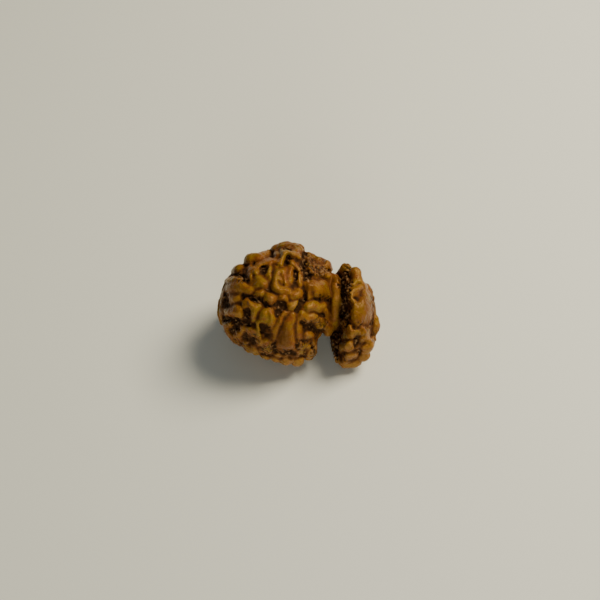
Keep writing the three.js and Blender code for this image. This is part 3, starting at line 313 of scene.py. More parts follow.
# Round knobs: x, y, w and radius
LARGE_KNOBS: tuple[Points, ...] = (
    ((236.4, 272, 3, 5.4), (240.6, 271.2, 11, 6.6)),
    ((252.8, 261.8, 10, 8.4), (259, 261.4, 12, 7.6), (264.6, 257.4, 3, 6.2), (268.5, 254.2, -3, 4.6)),
    ((231, 278, -4, 2.8),),
    ((279, 253, -3, 9), (286, 254, -2, 12.6), (291, 254, -2, 11.4)),
    ((298.5, 251, -5, 7),),
    ((311.5, 261.2, -10, 6.2), (318.5, 263.5, -8, 6.8), (325, 268, -6, 7.2)),
    ((327, 265, -1, 4),),
    ((287, 357.8, 13.5, 7.2),),
    ((297, 359.2, 6.5, 7),),
    ((276.4, 356.4, 12.5, 5.8),),
    ((268, 353.8, 7, 5.8),),
    ((309.4, 350, 3, 6.4), (308.4, 355.4, -4, 5)),
    ((322, 324, 6, 5), (327.4, 328.4, 2, 4.8), (327.4, 331.8, -2, 4)),
    ((256.8, 349.4, 11, 5.2),),
    ((250, 347.8, 8, 4.6),),
    ((237, 337.6, 12.5, 5.2), (230, 330.4, 10, 4.6), (227.6, 325.4, 12, 4)),
    ((240.6, 330.4, 28, 4.2),),
    ((251, 328.6, 36.4, 4.6), (255.2, 331, 37, 4.6)),
    ((265.6, 340.6, 31, 5),),
    ((248.6, 345.4, 15.4, 3.4), (255.4, 347.4, 16.8, 3.8)),
    ((221.5, 302, -4, 3.6), (221, 313, -3, 3.8), (223, 322, -4, 3.4)),
)
SMALL_KNOBS: tuple[Points, ...] = (
    ((355.5, 273.4, 10, 6.3), (356.5, 277, 12, 5.4)),
    ((345.6, 269, -2, 5.8), (341, 276, -8, 5.4)),
    ((366.4, 290, -6, 5), (369.4, 299, -6, 5), (371, 307, -6, 4.4), (371.2, 313, -6, 4.8)),
    ((374, 319.4, -4, 5), (374.4, 326, -4, 5.6), (373, 331, -4, 4.6)),
    ((370.6, 338, -5, 5.2),),
    ((336.6, 343, -20, 5.4), (337.4, 351, -18, 5.4)),
    ((365, 346, 6, 8),),
    ((363.5, 354.8, 0, 6.6),),
    ((355, 361, -4, 6.4), (345, 361.4, -4, 6.6), (340, 358, -6, 5.4)),
)

# Slabs of the large stone: height over the lobes and outline on the drawing
LARGE_SLABS: tuple[Slab, ...] = (
    Slab(1.4, ((244.6, 262), (246, 257), (250, 254), (257, 253), (263, 254), (266, 257), (264, 260.6),
         (259, 262.4), (257, 265.4), (252, 268), (247, 267))),
    Slab(1.4, ((231.5, 273), (233, 268), (238, 265), (244.6, 265.4), (247, 268.6), (245, 271.6),
         (240, 273), (236.6, 275.6), (232, 276))),
    Slab(1.4, ((282.5, 354.6), (286, 353.2), (290, 354.2), (291, 358), (290, 362.4), (286, 363.6),
         (282.6, 360))),
    Slab(1.4, ((292.4, 355.4), (297, 354.4), (301.6, 356.6), (302, 361), (298.4, 364.4), (294, 363.8),
         (292.2, 360))),
    Slab(2, ((306, 346.6), (310, 344.4), (313.6, 347), (314.4, 353), (312.6, 358), (308, 357),
         (305.6, 352))),
    Slab(5.2, ((279, 264), (280, 257.5), (281.4, 253), (285, 250.4), (290.6, 251), (294, 254),
         (291.8, 256), (287.5, 256), (285.6, 259.5), (284.4, 264))),
    Slab(5.6, ((228, 281), (231, 278.6), (236, 277), (242.6, 277.6), (246.6, 280.4), (249, 284),
         (253.5, 286.5), (255.5, 290), (252, 293), (246, 292), (241, 293), (235, 293), (228.5, 292.5),
         (224.5, 291), (225.5, 286))),
    Slab(4.6, ((228.5, 294.5), (234, 293.8), (240, 294.2), (241.6, 298), (240.5, 303), (236, 305.4),
         (231, 304.4), (228.5, 300))),
    Slab(5.2, ((252, 281.5), (255, 275.5), (259, 273.2), (263.5, 275), (267.4, 279), (268.6, 283.5),
         (268.6, 287.5), (266, 290), (262, 289.4), (257, 288.8), (253, 287.4), (250.8, 284.6))),
    Slab(5.8, ((266.4, 263.5), (269, 261), (272.6, 262), (273, 268), (272.4, 275), (271.2, 281.5),
         (268.6, 280.5), (267.2, 274), (266.6, 268))),
    Slab(3.8, ((273, 262.6), (280, 262.4), (284, 266), (281.4, 269.4), (276.4, 272.6), (273.4, 270))),
    Slab(4.6, ((277.4, 274), (282, 270.6), (286, 271.4), (287, 282), (284.6, 287), (280, 287),
         (277, 281))),
    Slab(5.8, ((287.4, 265), (291, 262.8), (295.6, 265), (296.6, 269.6), (294, 272.5), (293.4, 277),
         (293.6, 282), (291, 284.6), (288.4, 280.5), (287, 275), (286.8, 269.5))),
    Slab(5.2, ((298.6, 269), (301.4, 268.5), (303.4, 273), (305, 279), (304, 285), (301, 288),
         (297.8, 285.5), (297.6, 279), (298, 273))),
    Slab(6, ((284.2, 284.5), (287.5, 282.8), (290.4, 285), (289.6, 288.4), (286, 289), (284, 287))),
    Slab(5.2, ((277.8, 294.8), (283, 292.8), (289, 292.4), (290.8, 296), (289, 301.4), (283, 302.2),
         (278.8, 300.4))),
    Slab(5.8, ((290.8, 291.6), (294, 288.8), (299, 288.6), (304, 290.4), (303.4, 295.6), (300, 299.4),
         (294.6, 299.8), (291.2, 297))),
    Slab(5.6, ((287.2, 302.8), (291.5, 300), (296.5, 299.6), (301.6, 301.2), (301.6, 306.2),
         (298, 310), (292.5, 311.6), (288.2, 310), (286.6, 306.8))),
    Slab(6.8, ((264.6, 296.5), (268, 292.6), (272.7, 292.6), (277, 295.6), (277.4, 300), (274, 303),
         (268.5, 303), (265, 300.4))),
    Slab(5.6, ((255.4, 291.6), (259, 289.8), (264.6, 290.2), (266.6, 292.6), (264, 296.4), (260, 297),
         (256.6, 295))),
    Slab(6.4, ((246, 298.6), (250, 297.4), (254, 300.6), (258, 302.6), (261.6, 305), (261.6, 310.4),
         (259, 315.6), (256.6, 320.6), (252, 321), (250.8, 316), (250.6, 311), (247, 307),
         (245.4, 302.6))),
    Slab(6, ((259, 321.6), (259.6, 316), (261.4, 311), (264, 308.2), (268.4, 307.6), (273, 309.4),
         (276.2, 313.4), (277.4, 319), (276, 324), (272.6, 328.6), (269.8, 325), (266, 323.4),
         (261.6, 323.4))),
    Slab(5, ((273.6, 337.5), (273, 331), (275.6, 324), (279.6, 317.6), (285, 311.6), (289.6, 310.6),
         (288.6, 315.6), (285, 320.4), (280.8, 328), (278.6, 335.6), (276.8, 340.4), (274.6, 340.4))),
    Slab(5.2, ((291.4, 312.6), (296, 312), (297.4, 317), (296.6, 324), (297, 332), (297, 340),
         (296.4, 350.4), (290, 351.4), (283, 350.6), (277, 347.4), (278, 340), (280.8, 332),
         (284.8, 324), (288.4, 318))),
    Slab(5.4, ((284, 341), (291, 338.5), (295.4, 343), (295.4, 350), (288.5, 350.6), (282.6, 348.4))),
    Slab(6, ((297.2, 319), (298.4, 314.5), (301.5, 312.4), (304.5, 314), (303.4, 319), (302.4, 325),
         (302.8, 332), (302.8, 338.6), (300, 340.6), (297.6, 338.4), (297, 329))),
    Slab(5.6, ((303.6, 333), (307.5, 330.6), (312.6, 331), (316.2, 334.6), (315, 338.6),
         (309.6, 340.4), (304.6, 339.6))),
    Slab(5.4, ((247, 326.4), (250.6, 325), (256, 326.6), (258.2, 328.6), (258.4, 334.8), (255, 335),
         (251.5, 332.4), (248.6, 329.6))),
    Slab(4.8, ((238.4, 330), (241.4, 326.8), (244.8, 325.6), (246.6, 328.6), (244, 332.4),
         (240.4, 334.2), (237.6, 333))),
    Slab(5.4, ((260.4, 340), (263.4, 337), (268.4, 336.4), (272, 338.8), (270.6, 343), (266, 346),
         (261.6, 345))),
    Slab(6.4, ((223.6, 310), (228.4, 307.4), (233.5, 306), (237.5, 304.6), (241.4, 306.6),
         (243.8, 310.6), (244.2, 315), (242, 317.8), (236.3, 318.4), (229.6, 317.6), (225.4, 315),
         (223.4, 312.4))),
    Slab(4.8, ((224.6, 327), (227, 323.6), (231.6, 322.4), (234.6, 324.4), (232.4, 327.4),
         (229.6, 330.6), (232.6, 333.6), (238.4, 335), (242, 338), (240.8, 342.4), (235.6, 341.6),
         (230, 337), (226, 332))),
    Slab(6.8, ((305, 282.4), (308.6, 280), (314, 279), (321, 278.8), (327, 280), (331.4, 283.6),
         (333, 289), (332.4, 296), (327.4, 299), (320, 298.8), (314.4, 298), (311, 292), (305.6, 289))),
    Slab(7.2, ((304.4, 305), (307.5, 301.2), (313, 301), (318, 302.2), (325, 301), (328.2, 304.6),
         (327, 310), (321.5, 312.6), (314, 312.2), (307.6, 312.8), (304, 309.6))),
    Slab(3.4, ((249.5, 346.5), (253, 344), (258, 345.2), (260.4, 349), (259.4, 353.4), (254, 353.6),
         (250, 350.6))),
)

# Ridges and pits: half width, height or depth, and points on the drawing, some with their own half width
LARGE_RIDGES: tuple[Stroke, ...] = (
    Stroke(2.4, 5.4, ((228, 280.4), (233, 279), (239, 279))),
    Stroke(2.6, 3.4, ((252, 268), (250.5, 275), (249.5, 281))),
    Stroke(2.2, 3.6, ((244.4, 300), (245, 308))),
    Stroke(2.8, 5.8, ((293, 253), (288.5, 251.2), (284.2, 252.6), (282.6, 257), (280.8, 262))),
    Stroke(2.8, 4.4, ((254.5, 268.5), (256.5, 271.5))),
    Stroke(2.2, 3.8, ((258.5, 265.5), (261, 262.3), (267, 261.6), (272, 262))),
    Stroke(2.6, 4.4, ((270.5, 260.5), (276, 260.4), (281, 260.4))),
    Stroke(2.8, 3.4, ((271.5, 259), (277, 253.6))),
    Stroke(2.6, 2.6, ((296.8, 246), (298, 255))),
    Stroke(2.6, 1.2, ((274, 248.5), (281, 245.6), (290, 245.6))),
    Stroke(2.2, 5.2, ((293, 262.6), (296.5, 265.4), (299.6, 269))),
    Stroke(2.6, 5.4, ((284, 269.4), (280, 271.6), (276.4, 276.5), (274.8, 282), (276.4, 286.6),
         (279.8, 289.6), (284.6, 291), (289.6, 291))),
    Stroke(1.8, 5.4, ((284.8, 270), (285.4, 275), (285.4, 280), (286.6, 283))),
    Stroke(2.2, 4.4, ((278.5, 276), (281, 279))),
    Stroke(2.4, 1.6, ((309, 257.5), (312.5, 257))),
    Stroke(2.4, 1.6, ((318, 260.5), (321.5, 261.4))),
    Stroke(2.8, 2.4, ((326, 263), (327, 268.5))),
    Stroke(2.2, 3, ((308.6, 263), (308, 268))),
    Stroke(2.4, 2.4, ((314, 266),)),
    Stroke(2.4, 2.2, ((319.5, 268),)),
    Stroke(2.4, 3, ((313, 271.6), (317, 275))),
    Stroke(2.4, 3, ((322.5, 274), (328, 275))),
    Stroke(2.2, 2.5, ((310, 276),)),
    Stroke(2, 2, ((306.5, 271),)),
    Stroke(2.4, 4.8, ((309.6, 290), (310.6, 296.5))),
    Stroke(2.4, 4.2, ((326, 311), (329, 314))),
    Stroke(3.6, 5.4, ((304, 315.6), (309, 318), (314, 318), (319, 319.6), (321.6, 324))),
    Stroke(2, 3.4, ((311.5, 314.5), (316, 315))),
    Stroke(2.6, 4.4, ((328, 318), (329.6, 322))),
    Stroke(3.2, 4.8, ((327, 327.5), (330, 329))),
    Stroke(2.6, 4.4, ((327.6, 333.4),)),
    Stroke(2.2, 3.6, ((323, 325.5),)),
    Stroke(2, 3.6, ((314.8, 342), (316, 347), (314.6, 352))),
    Stroke(3, 2.6, ((308.4, 345.6), (310.6, 350.6))),
    Stroke(2.2, 3.4, ((301, 343.6), (304, 346.4))),
    Stroke(2, 2.6, ((298.4, 352), (303, 352))),
    Stroke(2.2, 2.6, ((271.6, 343), (273, 350))),
    Stroke(1.5, 5, ((259, 321.6), (259, 330.3), (259.4, 337.5), (260, 344))),
    Stroke(2.2, 2.6, ((262.5, 350), (266.5, 348))),
    Stroke(2, 2.4, ((268, 344.6), (268.6, 350))),
    Stroke(2, 2, ((277, 353.6), (280, 355))),
    Stroke(2.4, 3, ((244, 343.5), (247, 341.5))),
    Stroke(2, 5, ((227, 324), (230.5, 322.4))),
    Stroke(1.3, 0.8, ((273, 305), (278, 307.5), (281, 304.5), (286, 306))),
    Stroke(1.3, 0.8, ((278.5, 308), (278.5, 312), (281, 316))),
    Stroke(1.4, 0.8, ((247, 335.5), (253, 341))),
    Stroke(1.4, 1.8, ((263.5, 326), (268, 331), (264, 335))),
    Stroke(1.5, 1, ((238, 274), (244, 276), (247, 280))),
)
LARGE_PITS: tuple[Stroke, ...] = (
    Stroke(2, 0.6, ((263.6, 267.6, 1.9), (263, 270.6, 1.7))),
    Stroke(1.8, 0.6, ((288.8, 257.6), (287.6, 262))),
    Stroke(1, 0.3, ((284.6, 249), (291.4, 249.6))),
    Stroke(1.1, 0.2, ((271.8, 252), (272.8, 256))),
    Stroke(1.5, 1.3, ((305.8, 250.5), (304.6, 256))),
    Stroke(1, 0.3, ((296.6, 272.6, 1.2), (296.2, 281.5, 0.8))),
    Stroke(2.1, 1.5, ((303.2, 263.6), (304.2, 271))),
    Stroke(2.1, 0.9, ((304.6, 272), (308.4, 276.5))),
    Stroke(1.2, 0.8, ((305.6, 292), (305.2, 298), (302.6, 303))),
    Stroke(1.5, 0.5, ((302.6, 303), (297, 311))),
    Stroke(0.9, -3.1, ((288.2, 317), (283.4, 326), (279.4, 336))),
    Stroke(1.7, 0.3, ((238, 275), (245, 276.6), (248.6, 281))),
    Stroke(2.2, 0.7, ((225.6, 296), (226.4, 303.5))),
    Stroke(1.2, 0.6, ((244, 294.6), (244, 298.6))),
    Stroke(2.2, 0.9, ((247, 311), (247, 317), (249.6, 322.4))),
    Stroke(1.6, 1.2, ((251.6, 295.4), (259.4, 299.6))),
    Stroke(2, 0.9, ((225.6, 319), (232, 320.4), (239, 321))),
    Stroke(2.4, 0.9, ((237.6, 322), (236.6, 328))),
    Stroke(2.4, 0.2, ((264, 327), (267, 332))),
    Stroke(1.6, 0.7, ((264, 303.6), (268, 305.6))),
    Stroke(2.8, 0.7, ((277, 304), (283, 305), (279, 312))),
    Stroke(3, 0.6, ((247, 338), (254, 341))),
    Stroke(1.6, 0.7, ((303, 322.5),)),
    Stroke(1.2, 0.1, ((309, 327), (316, 328))),
    Stroke(1.3, 0.5, ((323, 316),)),
    Stroke(1.3, 0.2, ((329.4, 300), (329.2, 305))),
    Stroke(1.1, 0.3, ((283, 352.6), (297, 352.6))),
    Stroke(2, 0.6, ((274.6, 346), (275.4, 350))),
    Stroke(1, 0.4, ((291.6, 359), (291.8, 364))),
    Stroke(0.8, -2.1, ((312.6, 291.5), (313.4, 297))),
    Stroke(1.1, 0.2, ((319.6, 298),)),
    Stroke(1.1, 0.2, ((327.6, 300),)),
    Stroke(0.7, -3.5, ((268.6, 311.5), (269.6, 320))),
    Stroke(1.2, 0.2, ((254.6, 265),)),
)

# The same for the small stone
SMALL_SLABS: tuple[Slab, ...] = (
    Slab(4.6, ((352, 283), (356, 280.6), (362, 281), (367, 284.6), (364, 288), (358, 288), (353, 287))),
    Slab(4.4, ((353.4, 292), (359, 289.6), (361, 293), (359, 297), (354, 296.6))),
    Slab(1.6, ((350, 269), (353.4, 266.6), (357.4, 268.4), (358.6, 272), (357.6, 276), (353.4, 277.6),
         (350.6, 274))),
    Slab(5.2, ((351.6, 301.5), (358, 300), (361.6, 296), (360.6, 290.6), (364, 287.6), (369, 288),
         (372, 294), (373.6, 303), (374, 311), (371, 318.6), (368, 323.6), (361, 326.4), (355, 325.6),
         (352, 320), (351.2, 311))),
    Slab(5.8, ((338.6, 345), (342, 340.6), (348, 340.6), (353.6, 342.4), (354, 347.4), (349, 351.6),
         (341, 352.4), (338.6, 349.4))),
    Slab(1.8, ((357.6, 346), (361, 342.4), (367.4, 341), (371.4, 344), (370.4, 348.4), (364.4, 350),
         (359, 349.8))),
    Slab(3.4, ((343, 356.6), (348, 353), (355, 352.6), (358.6, 355.6), (356, 359.4), (347.4, 360))),
    Slab(5, ((357.6, 328), (362, 324.6), (367.4, 325.6), (371, 328.6), (371, 335), (366.6, 339.4),
         (361, 338), (357.6, 333.4))),
)
SMALL_RIDGES: tuple[Stroke, ...] = (
    Stroke(2.8, 4.8, ((354, 282), (360, 282.2), (366, 285))),
    Stroke(2.4, 5.4, ((351.8, 297.6), (352.6, 292.6), (356, 288.6), (361, 287.4))),
    Stroke(2, 5.2, ((351.8, 298), (354.4, 301))),
    Stroke(3.4, 4.2, ((344.6, 322), (347, 329), (346.6, 335.6))),
    Stroke(2.6, 4.4, ((350.4, 329), (352.4, 335))),
    Stroke(2.6, 4.4, ((355.6, 331),)),
    Stroke(2.2, 4.4, ((363, 339.6), (369, 338))),
    Stroke(2.6, 1.4, ((344, 362.4), (351, 364), (357, 362))),
    Stroke(2.2, 3.4, ((372.6, 340), (372, 346))),
)
SMALL_PITS: tuple[Stroke, ...] = (
    Stroke(0.7, 0, ((353.4, 298), (358.6, 298.8))),
    Stroke(1.5, 0.6, ((356.2, 338), (356.6, 342))),
    Stroke(1.1, 0.3, ((360, 351.4), (366, 351.4))),
    Stroke(1.1, 0.3, ((353.4, 327.4),)),
    Stroke(0.8, -1, ((341, 354), (350, 352))),
    Stroke(1.2, 0.4, ((372.5, 336),)),
)


def soft_min(a: np.ndarray, b: np.ndarray, blend: float) -> np.ndarray:
    """Gives the lesser of two distances, with a rounded corner between them."""
    share = np.clip(0.5 + 0.5 * (b - a) / blend, 0.0, 1.0)
    return b * (1.0 - share) + a * share - blend * share * (1.0 - share)


def soft_max(a: np.ndarray, b: np.ndarray, blend: float) -> np.ndarray:
    """Gives the greater of two distances, with a rounded corner between them."""
    return -soft_min(-a, -b, blend)


def outline_distance(edge: Points, x: np.ndarray, y: np.ndarray) -> np.ndarray:
    """Gives the distance to a closed outline on the drawing, below 0 inside it."""
    nearest = np.full(x.shape, np.inf)
    inside = np.zeros(x.shape, dtype=bool)
    for (ax, ay), (bx, by) in zip(edge, (edge[-1], *edge[:-1])):
        share = ((x - ax) * (bx - ax) + (y - ay) * (by - ay)) / ((bx - ax) ** 2 + (by - ay) ** 2)
        share = np.clip(share, 0.0, 1.0)
        gap = (x - ax - (bx - ax) * share) ** 2 + (y - ay - (by - ay) * share) ** 2
        nearest = np.minimum(nearest, gap)
        if ay != by:
            inside ^= ((ay > y) != (by > y)) & (x < ax + (bx - ax) * (y - ay) / (by - ay))
    return np.where(inside, -1.0, 1.0) * np.sqrt(nearest)


def rod_distance(u: np.ndarray, v: np.ndarray, w: np.ndarray, path: np.ndarray,
                 halves: Sequence[float]) -> np.ndarray:
    """Gives the distance to a rod along a path.

    Args:
        u: Places along u.
        v: Places along v.
        w: Places along w.
        path: The rod's points.
        halves: Its half width at each point.

    Returns:
        The distance of each place, in steps.
    """
    distance = None
    last = len(path) - 1
    for index in range(max(last, 1)):
        follow = min(index + 1, last)
        start = path[index]
        along = path[follow] - start
        offset = (u - start[0], v - start[1], w - start[2])
        share = (offset[0] * along[0] + offset[1] * along[1] + offset[2] * along[2]) / (along @ along + 1e-9)
        share = np.clip(share, 0.0, 1.0)
        gap = sum((part - share * way) ** 2 for part, way in zip(offset, along))
        rod = np.sqrt(gap) - (halves[index] + (halves[follow] - halves[index]) * share)
        distance = rod if distance is None else np.minimum(distance, rod)
    return distance


def place(x: float, y: float, w: float = 0.0) -> Place:
    """Gives the place at depth w that the drawing shows at x, y."""
    nearness = 1.0 - w / VIEW.distance
    return np.array([(x - VIEW.middle_x) * nearness, (VIEW.middle_y - y) * nearness, w])


def chance(site: int, use: int) -> float:
    """Draws an even, repeatable number from 0 to 1."""
    wave = math.sin(site * 12.9898 + use * 78.233 + 4.1) * 43758.5453
    return wave - math.floor(wave)


def drifted(u: np.ndarray, v: np.ndarray, w: np.ndarray) -> tuple[np.ndarray, np.ndarray, np.ndarray]:
    """Shifts places smoothly and unevenly, so that no ridge runs straight."""
    a = np.sin(0.31 * u + 0.17 * v + 1.3) + np.sin(0.23 * v - 0.29 * w + 0.4)
    b = np.sin(0.27 * v + 0.21 * w + 2.7) + np.sin(0.33 * u - 0.19 * w + 5.0)
    c = np.sin(0.29 * w + 0.13 * u + 4.2) + np.sin(0.25 * u + 0.31 * v + 3.3)
    a += 0.6 * np.sin(0.53 * w + 0.41 * u + 2.1)
    b += 0.6 * np.sin(0.47 * v + 0.39 * u + 0.8)
    c += 0.6 * np.sin(0.51 * v - 0.43 * w + 1.9)
    return u + DRIFT * a, v + DRIFT * b, w + DRIFT * c


def height_of(v: np.ndarray, w: np.ndarray) -> np.ndarray:
    """Gives the height over the floor, in steps."""
    return v * math.cos(VIEW.rise) + w * math.sin(VIEW.rise) + VIEW.ground_drop


class Stone:
    """One stone's bare form: lobes that run into each other, with round knobs on them."""

    def __init__(self, lobes: Sequence[Lobe], knobs: Sequence[Points] = ()) -> None:
        """Keeps the lobes and knobs with their middles placed.

        Args:
            lobes: The stone's lobes.
            knobs: Rows of round knobs, as x, y, w and radius.
        """
        self.lobes = [(lobe, place(*lobe.middle), math.radians(lobe.lean)) for lobe in lobes]
        self.knobs = [(np.array([place(*knob[:3]) for knob in row]), [knob[3] for knob in row]) for row in knobs]

    def distance(self, u: np.ndarray, v: np.ndarray, w: np.ndarray) -> np.ndarray:
        """Gives the distance to the lobes and knobs, below 0 inside them."""
        return self.with_knobs(self.lobes_distance(u, v, w), u, v, w)

    def with_knobs(self, values: np.ndarray, u: np.ndarray, v: np.ndarray, w: np.ndarray) -> np.ndarray:
        """Joins the knobs to a distance.

        Args:
            values: The distance to the rest of the stone.
            u: Places along u.
            v: Places along v.
            w: Places along w.

        Returns:
            The distance to both.
        """
        for path, radii in self.knobs:
            values = soft_min(values, rod_distance(u, v, w, path, radii), BLENDS.knob)
        return values

    def knob_gap(self, at: Place) -> float:
        """Gives the distance from a place to the nearest knob."""
        return min((float(rod_distance(*at, path, radii)) for path, radii in self.knobs), default=math.inf)

    def lobes_distance(self, u: np.ndarray, v: np.ndarray, w: np.ndarray) -> np.ndarray:
        """Gives the distance to the lobes, below 0 inside them.

        Args:
            u: Places along u.
            v: Places along v.
            w: Places along w.

        Returns:
            The distance of each place, in steps.
        """
        result = None
        for lobe, middle, turn in self.lobes:
            across = (u - middle[0]) * math.cos(turn) - (w - middle[2]) * math.sin(turn)
            along = (u - middle[0]) * math.sin(turn) + (w - middle[2]) * math.cos(turn)
            upward = v - middle[1]
            r = lobe.radii
            near = np.sqrt((across / r[0]) ** 2 + (upward / r[1]) ** 2 + (along / r[2]) ** 2)
            steep = np.sqrt((across / r[0] ** 2) ** 2 + (upward / r[1] ** 2) ** 2 + (along / r[2] ** 2) ** 2)
            one = near * (near - 1.0) / (steep + 1e-9)
            if lobe.flat_face:
                one = soft_max(one, -across, BLENDS.face)
            result = one if result is None else soft_min(result, one, BLENDS.lobe)
        return result

    @staticmethod
    def outward(distance: Callable[..., np.ndarray], at: Place) -> Place:
        """Gives the direction that leads straight out of the stone at a place."""
        step = 0.5 * np.eye(3)
        slope = distance(*(at[:, None] + step)) - distance(*(at[:, None] - step))
        return slope / max(float(np.linalg.norm(slope)), 1e-9)

    def onto(self, x: float, y: float) -> tuple[Place, Place]:
        """Finds the spot on the stone that the drawing shows at x, y.

        Args:
            x: Place across the drawing.
            y: Place down the drawing.

        Returns:
            The spot, or the nearest one where the sight line misses, and the way out there.
        """
        depths = np.arange(62.0, -66.0, -0.5)
        nearness = 1.0 - depths / VIEW.distance
        line = ((x - VIEW.middle_x) * nearness, (VIEW.middle_y - y) * nearness, depths)
        distances = self.distance(*line)
        inside = np.flatnonzero(distances < 0)
        index = int(inside[0]) if inside.size else int(np.argmin(distances))
        at = np.array([part[index] for part in line])
        normal = self.outward(self.distance, at)
        if not inside.size:
            at = at - normal * distances[index]
        return at, normal

    def settle(self, start: Place) -> tuple[Place, Place]:
        """Brings a nearby place onto the lobes.

        Args:
            start: A place near the stone.

        Returns:
            The spot on the lobes and the way out there.
        """
        at = start
        for _ in range(5):
            normal = self.outward(self.lobes_distance, at)
            at = at - normal * float(self.lobes_distance(*at))
        return at, normal


class ReliefMap:
    """Heights of one stone's relief over its lobes, drawn flat as the viewer sees them."""

    def __init__(self) -> None:
        """Starts with bare valleys."""
        self.x = np.arange(MAP_LEFT, MAP_RIGHT, MAP_PITCH)
        self.y = np.arange(MAP_TOP, MAP_BOTTOM, MAP_PITCH)
        self.across, self.down = np.meshgrid(self.x, self.y, indexing="ij")
        self.heights = np.full(self.across.shape, MAP_FLOOR)

    def raise_slab(self, slab: Slab) -> None:
        """Raises a domed patch inside an outline."""
        inside = -outline_distance(slab.edge, self.across, self.down)
        rise = np.clip((inside + SLAB_SPREAD) / SLAB_ROUND, 0.0, 1.0)
        dome = np.sin(0.5 * math.pi * rise) ** 1.1
        crown = DOME * np.clip(inside / DOME_REACH, 0.0, 1.0)
        self.join(slab.height * dome * (1.0 - DOME + crown))

    def raise_ridge(self, stroke: Stroke) -> None:
        """Raises a rounded ridge along a stroke."""
        gap = self.stroke_gap(stroke, RIDGE_SPREAD)
        self.join(stroke.height * np.clip(1.0 - gap ** 2, 0.0, 1.0) ** 1.1)

    def join(self, heights: np.ndarray) -> None:
        """Keeps the greater of the heights, with soft creases."""
        self.heights = np.where(heights > 0.0, soft_max(self.heights, heights, MAP_BLEND), self.heights)

    def cut_pit(self, stroke: Stroke) -> None:
        """Sinks a pit with sloping sides along a stroke."""
        gap = self.stroke_gap(stroke, PIT_SPREAD)
        share = np.clip(1.15 * (1.0 - gap), 0.0, 1.0)
        share = share * share * (3.0 - 2.0 * share)
        floor = np.minimum(self.heights, -stroke.height)
        self.heights = self.heights * (1.0 - share) + floor * share

    def soften(self) -> None:
        """Rounds the creases and edges a little, as worn wood has them."""
        frequency_x = np.fft.fftfreq(len(self.x), MAP_PITCH)[:, None]
        frequency_y = np.fft.fftfreq(len(self.y), MAP_PITCH)[None, :]
        keep = np.exp(-2.0 * (math.pi * MAP_SOFTNESS) ** 2 * (frequency_x ** 2 + frequency_y ** 2))
        self.heights = np.real(np.fft.ifft2(np.fft.fft2(self.heights) * keep))

    def stroke_gap(self, stroke: Stroke, spread: float) -> np.ndarray:
        """Gives the distance to a stroke as a share of its spread half width there."""
        points = [(point[0], point[1]) for point in stroke.at]
        halves = [spread * (point[2] if len(point) > 2 else stroke.half) for point in stroke.at]
        nearest = None
        last = len(points) - 1
        for index in range(max(last, 1)):
            follow = min(index + 1, last)
            (ax, ay), (bx, by) = points[index], points[follow]
            length = (bx - ax) ** 2 + (by - ay) ** 2 + 1e-9
            share = ((self.across - ax) * (bx - ax) + (self.down - ay) * (by - ay)) / length
            share = np.clip(share, 0.0, 1.0)
            gap = np.hypot(self.across - ax - (bx - ax) * share, self.down - ay - (by - ay) * share)
            gap = gap / (halves[index] + (halves[follow] - halves[index]) * share)
            nearest = gap if nearest is None else np.minimum(nearest, gap)
        return nearest

    def at(self, u: np.ndarray, v: np.ndarray, w: np.ndarray) -> np.ndarray:
        """Reads the heights that are drawn where places are seen.

        Args:
            u: Places along u.
            v: Places along v.
            w: Places along w.

        Returns:
            Their heights, in steps, fading out behind the outline.
        """
        nearness = 1.0 - w / VIEW.distance
        across = (u / nearness + VIEW.middle_x - MAP_LEFT) / MAP_PITCH
        down = (VIEW.middle_y - v / nearness - MAP_TOP) / MAP_PITCH
        across = np.clip(across, 0.0, len(self.x) - 1.001)
        down = np.clip(down, 0.0, len(self.y) - 1.001)
        i = across.astype(int)
        j = down.astype(int)
        right = across - i
        below = down - j
        upper = self.heights[i, j] * (1.0 - right) + self.heights[i + 1, j] * right
        lower = self.heights[i, j + 1] * (1.0 - right) + self.heights[i + 1, j + 1] * right
        front = np.clip((w - FRONT_START) / (FRONT_END - FRONT_START), 0.0, 1.0)
        front = front * front * (3.0 - 2.0 * front)
        return (upper * (1.0 - below) + lower * below) * front


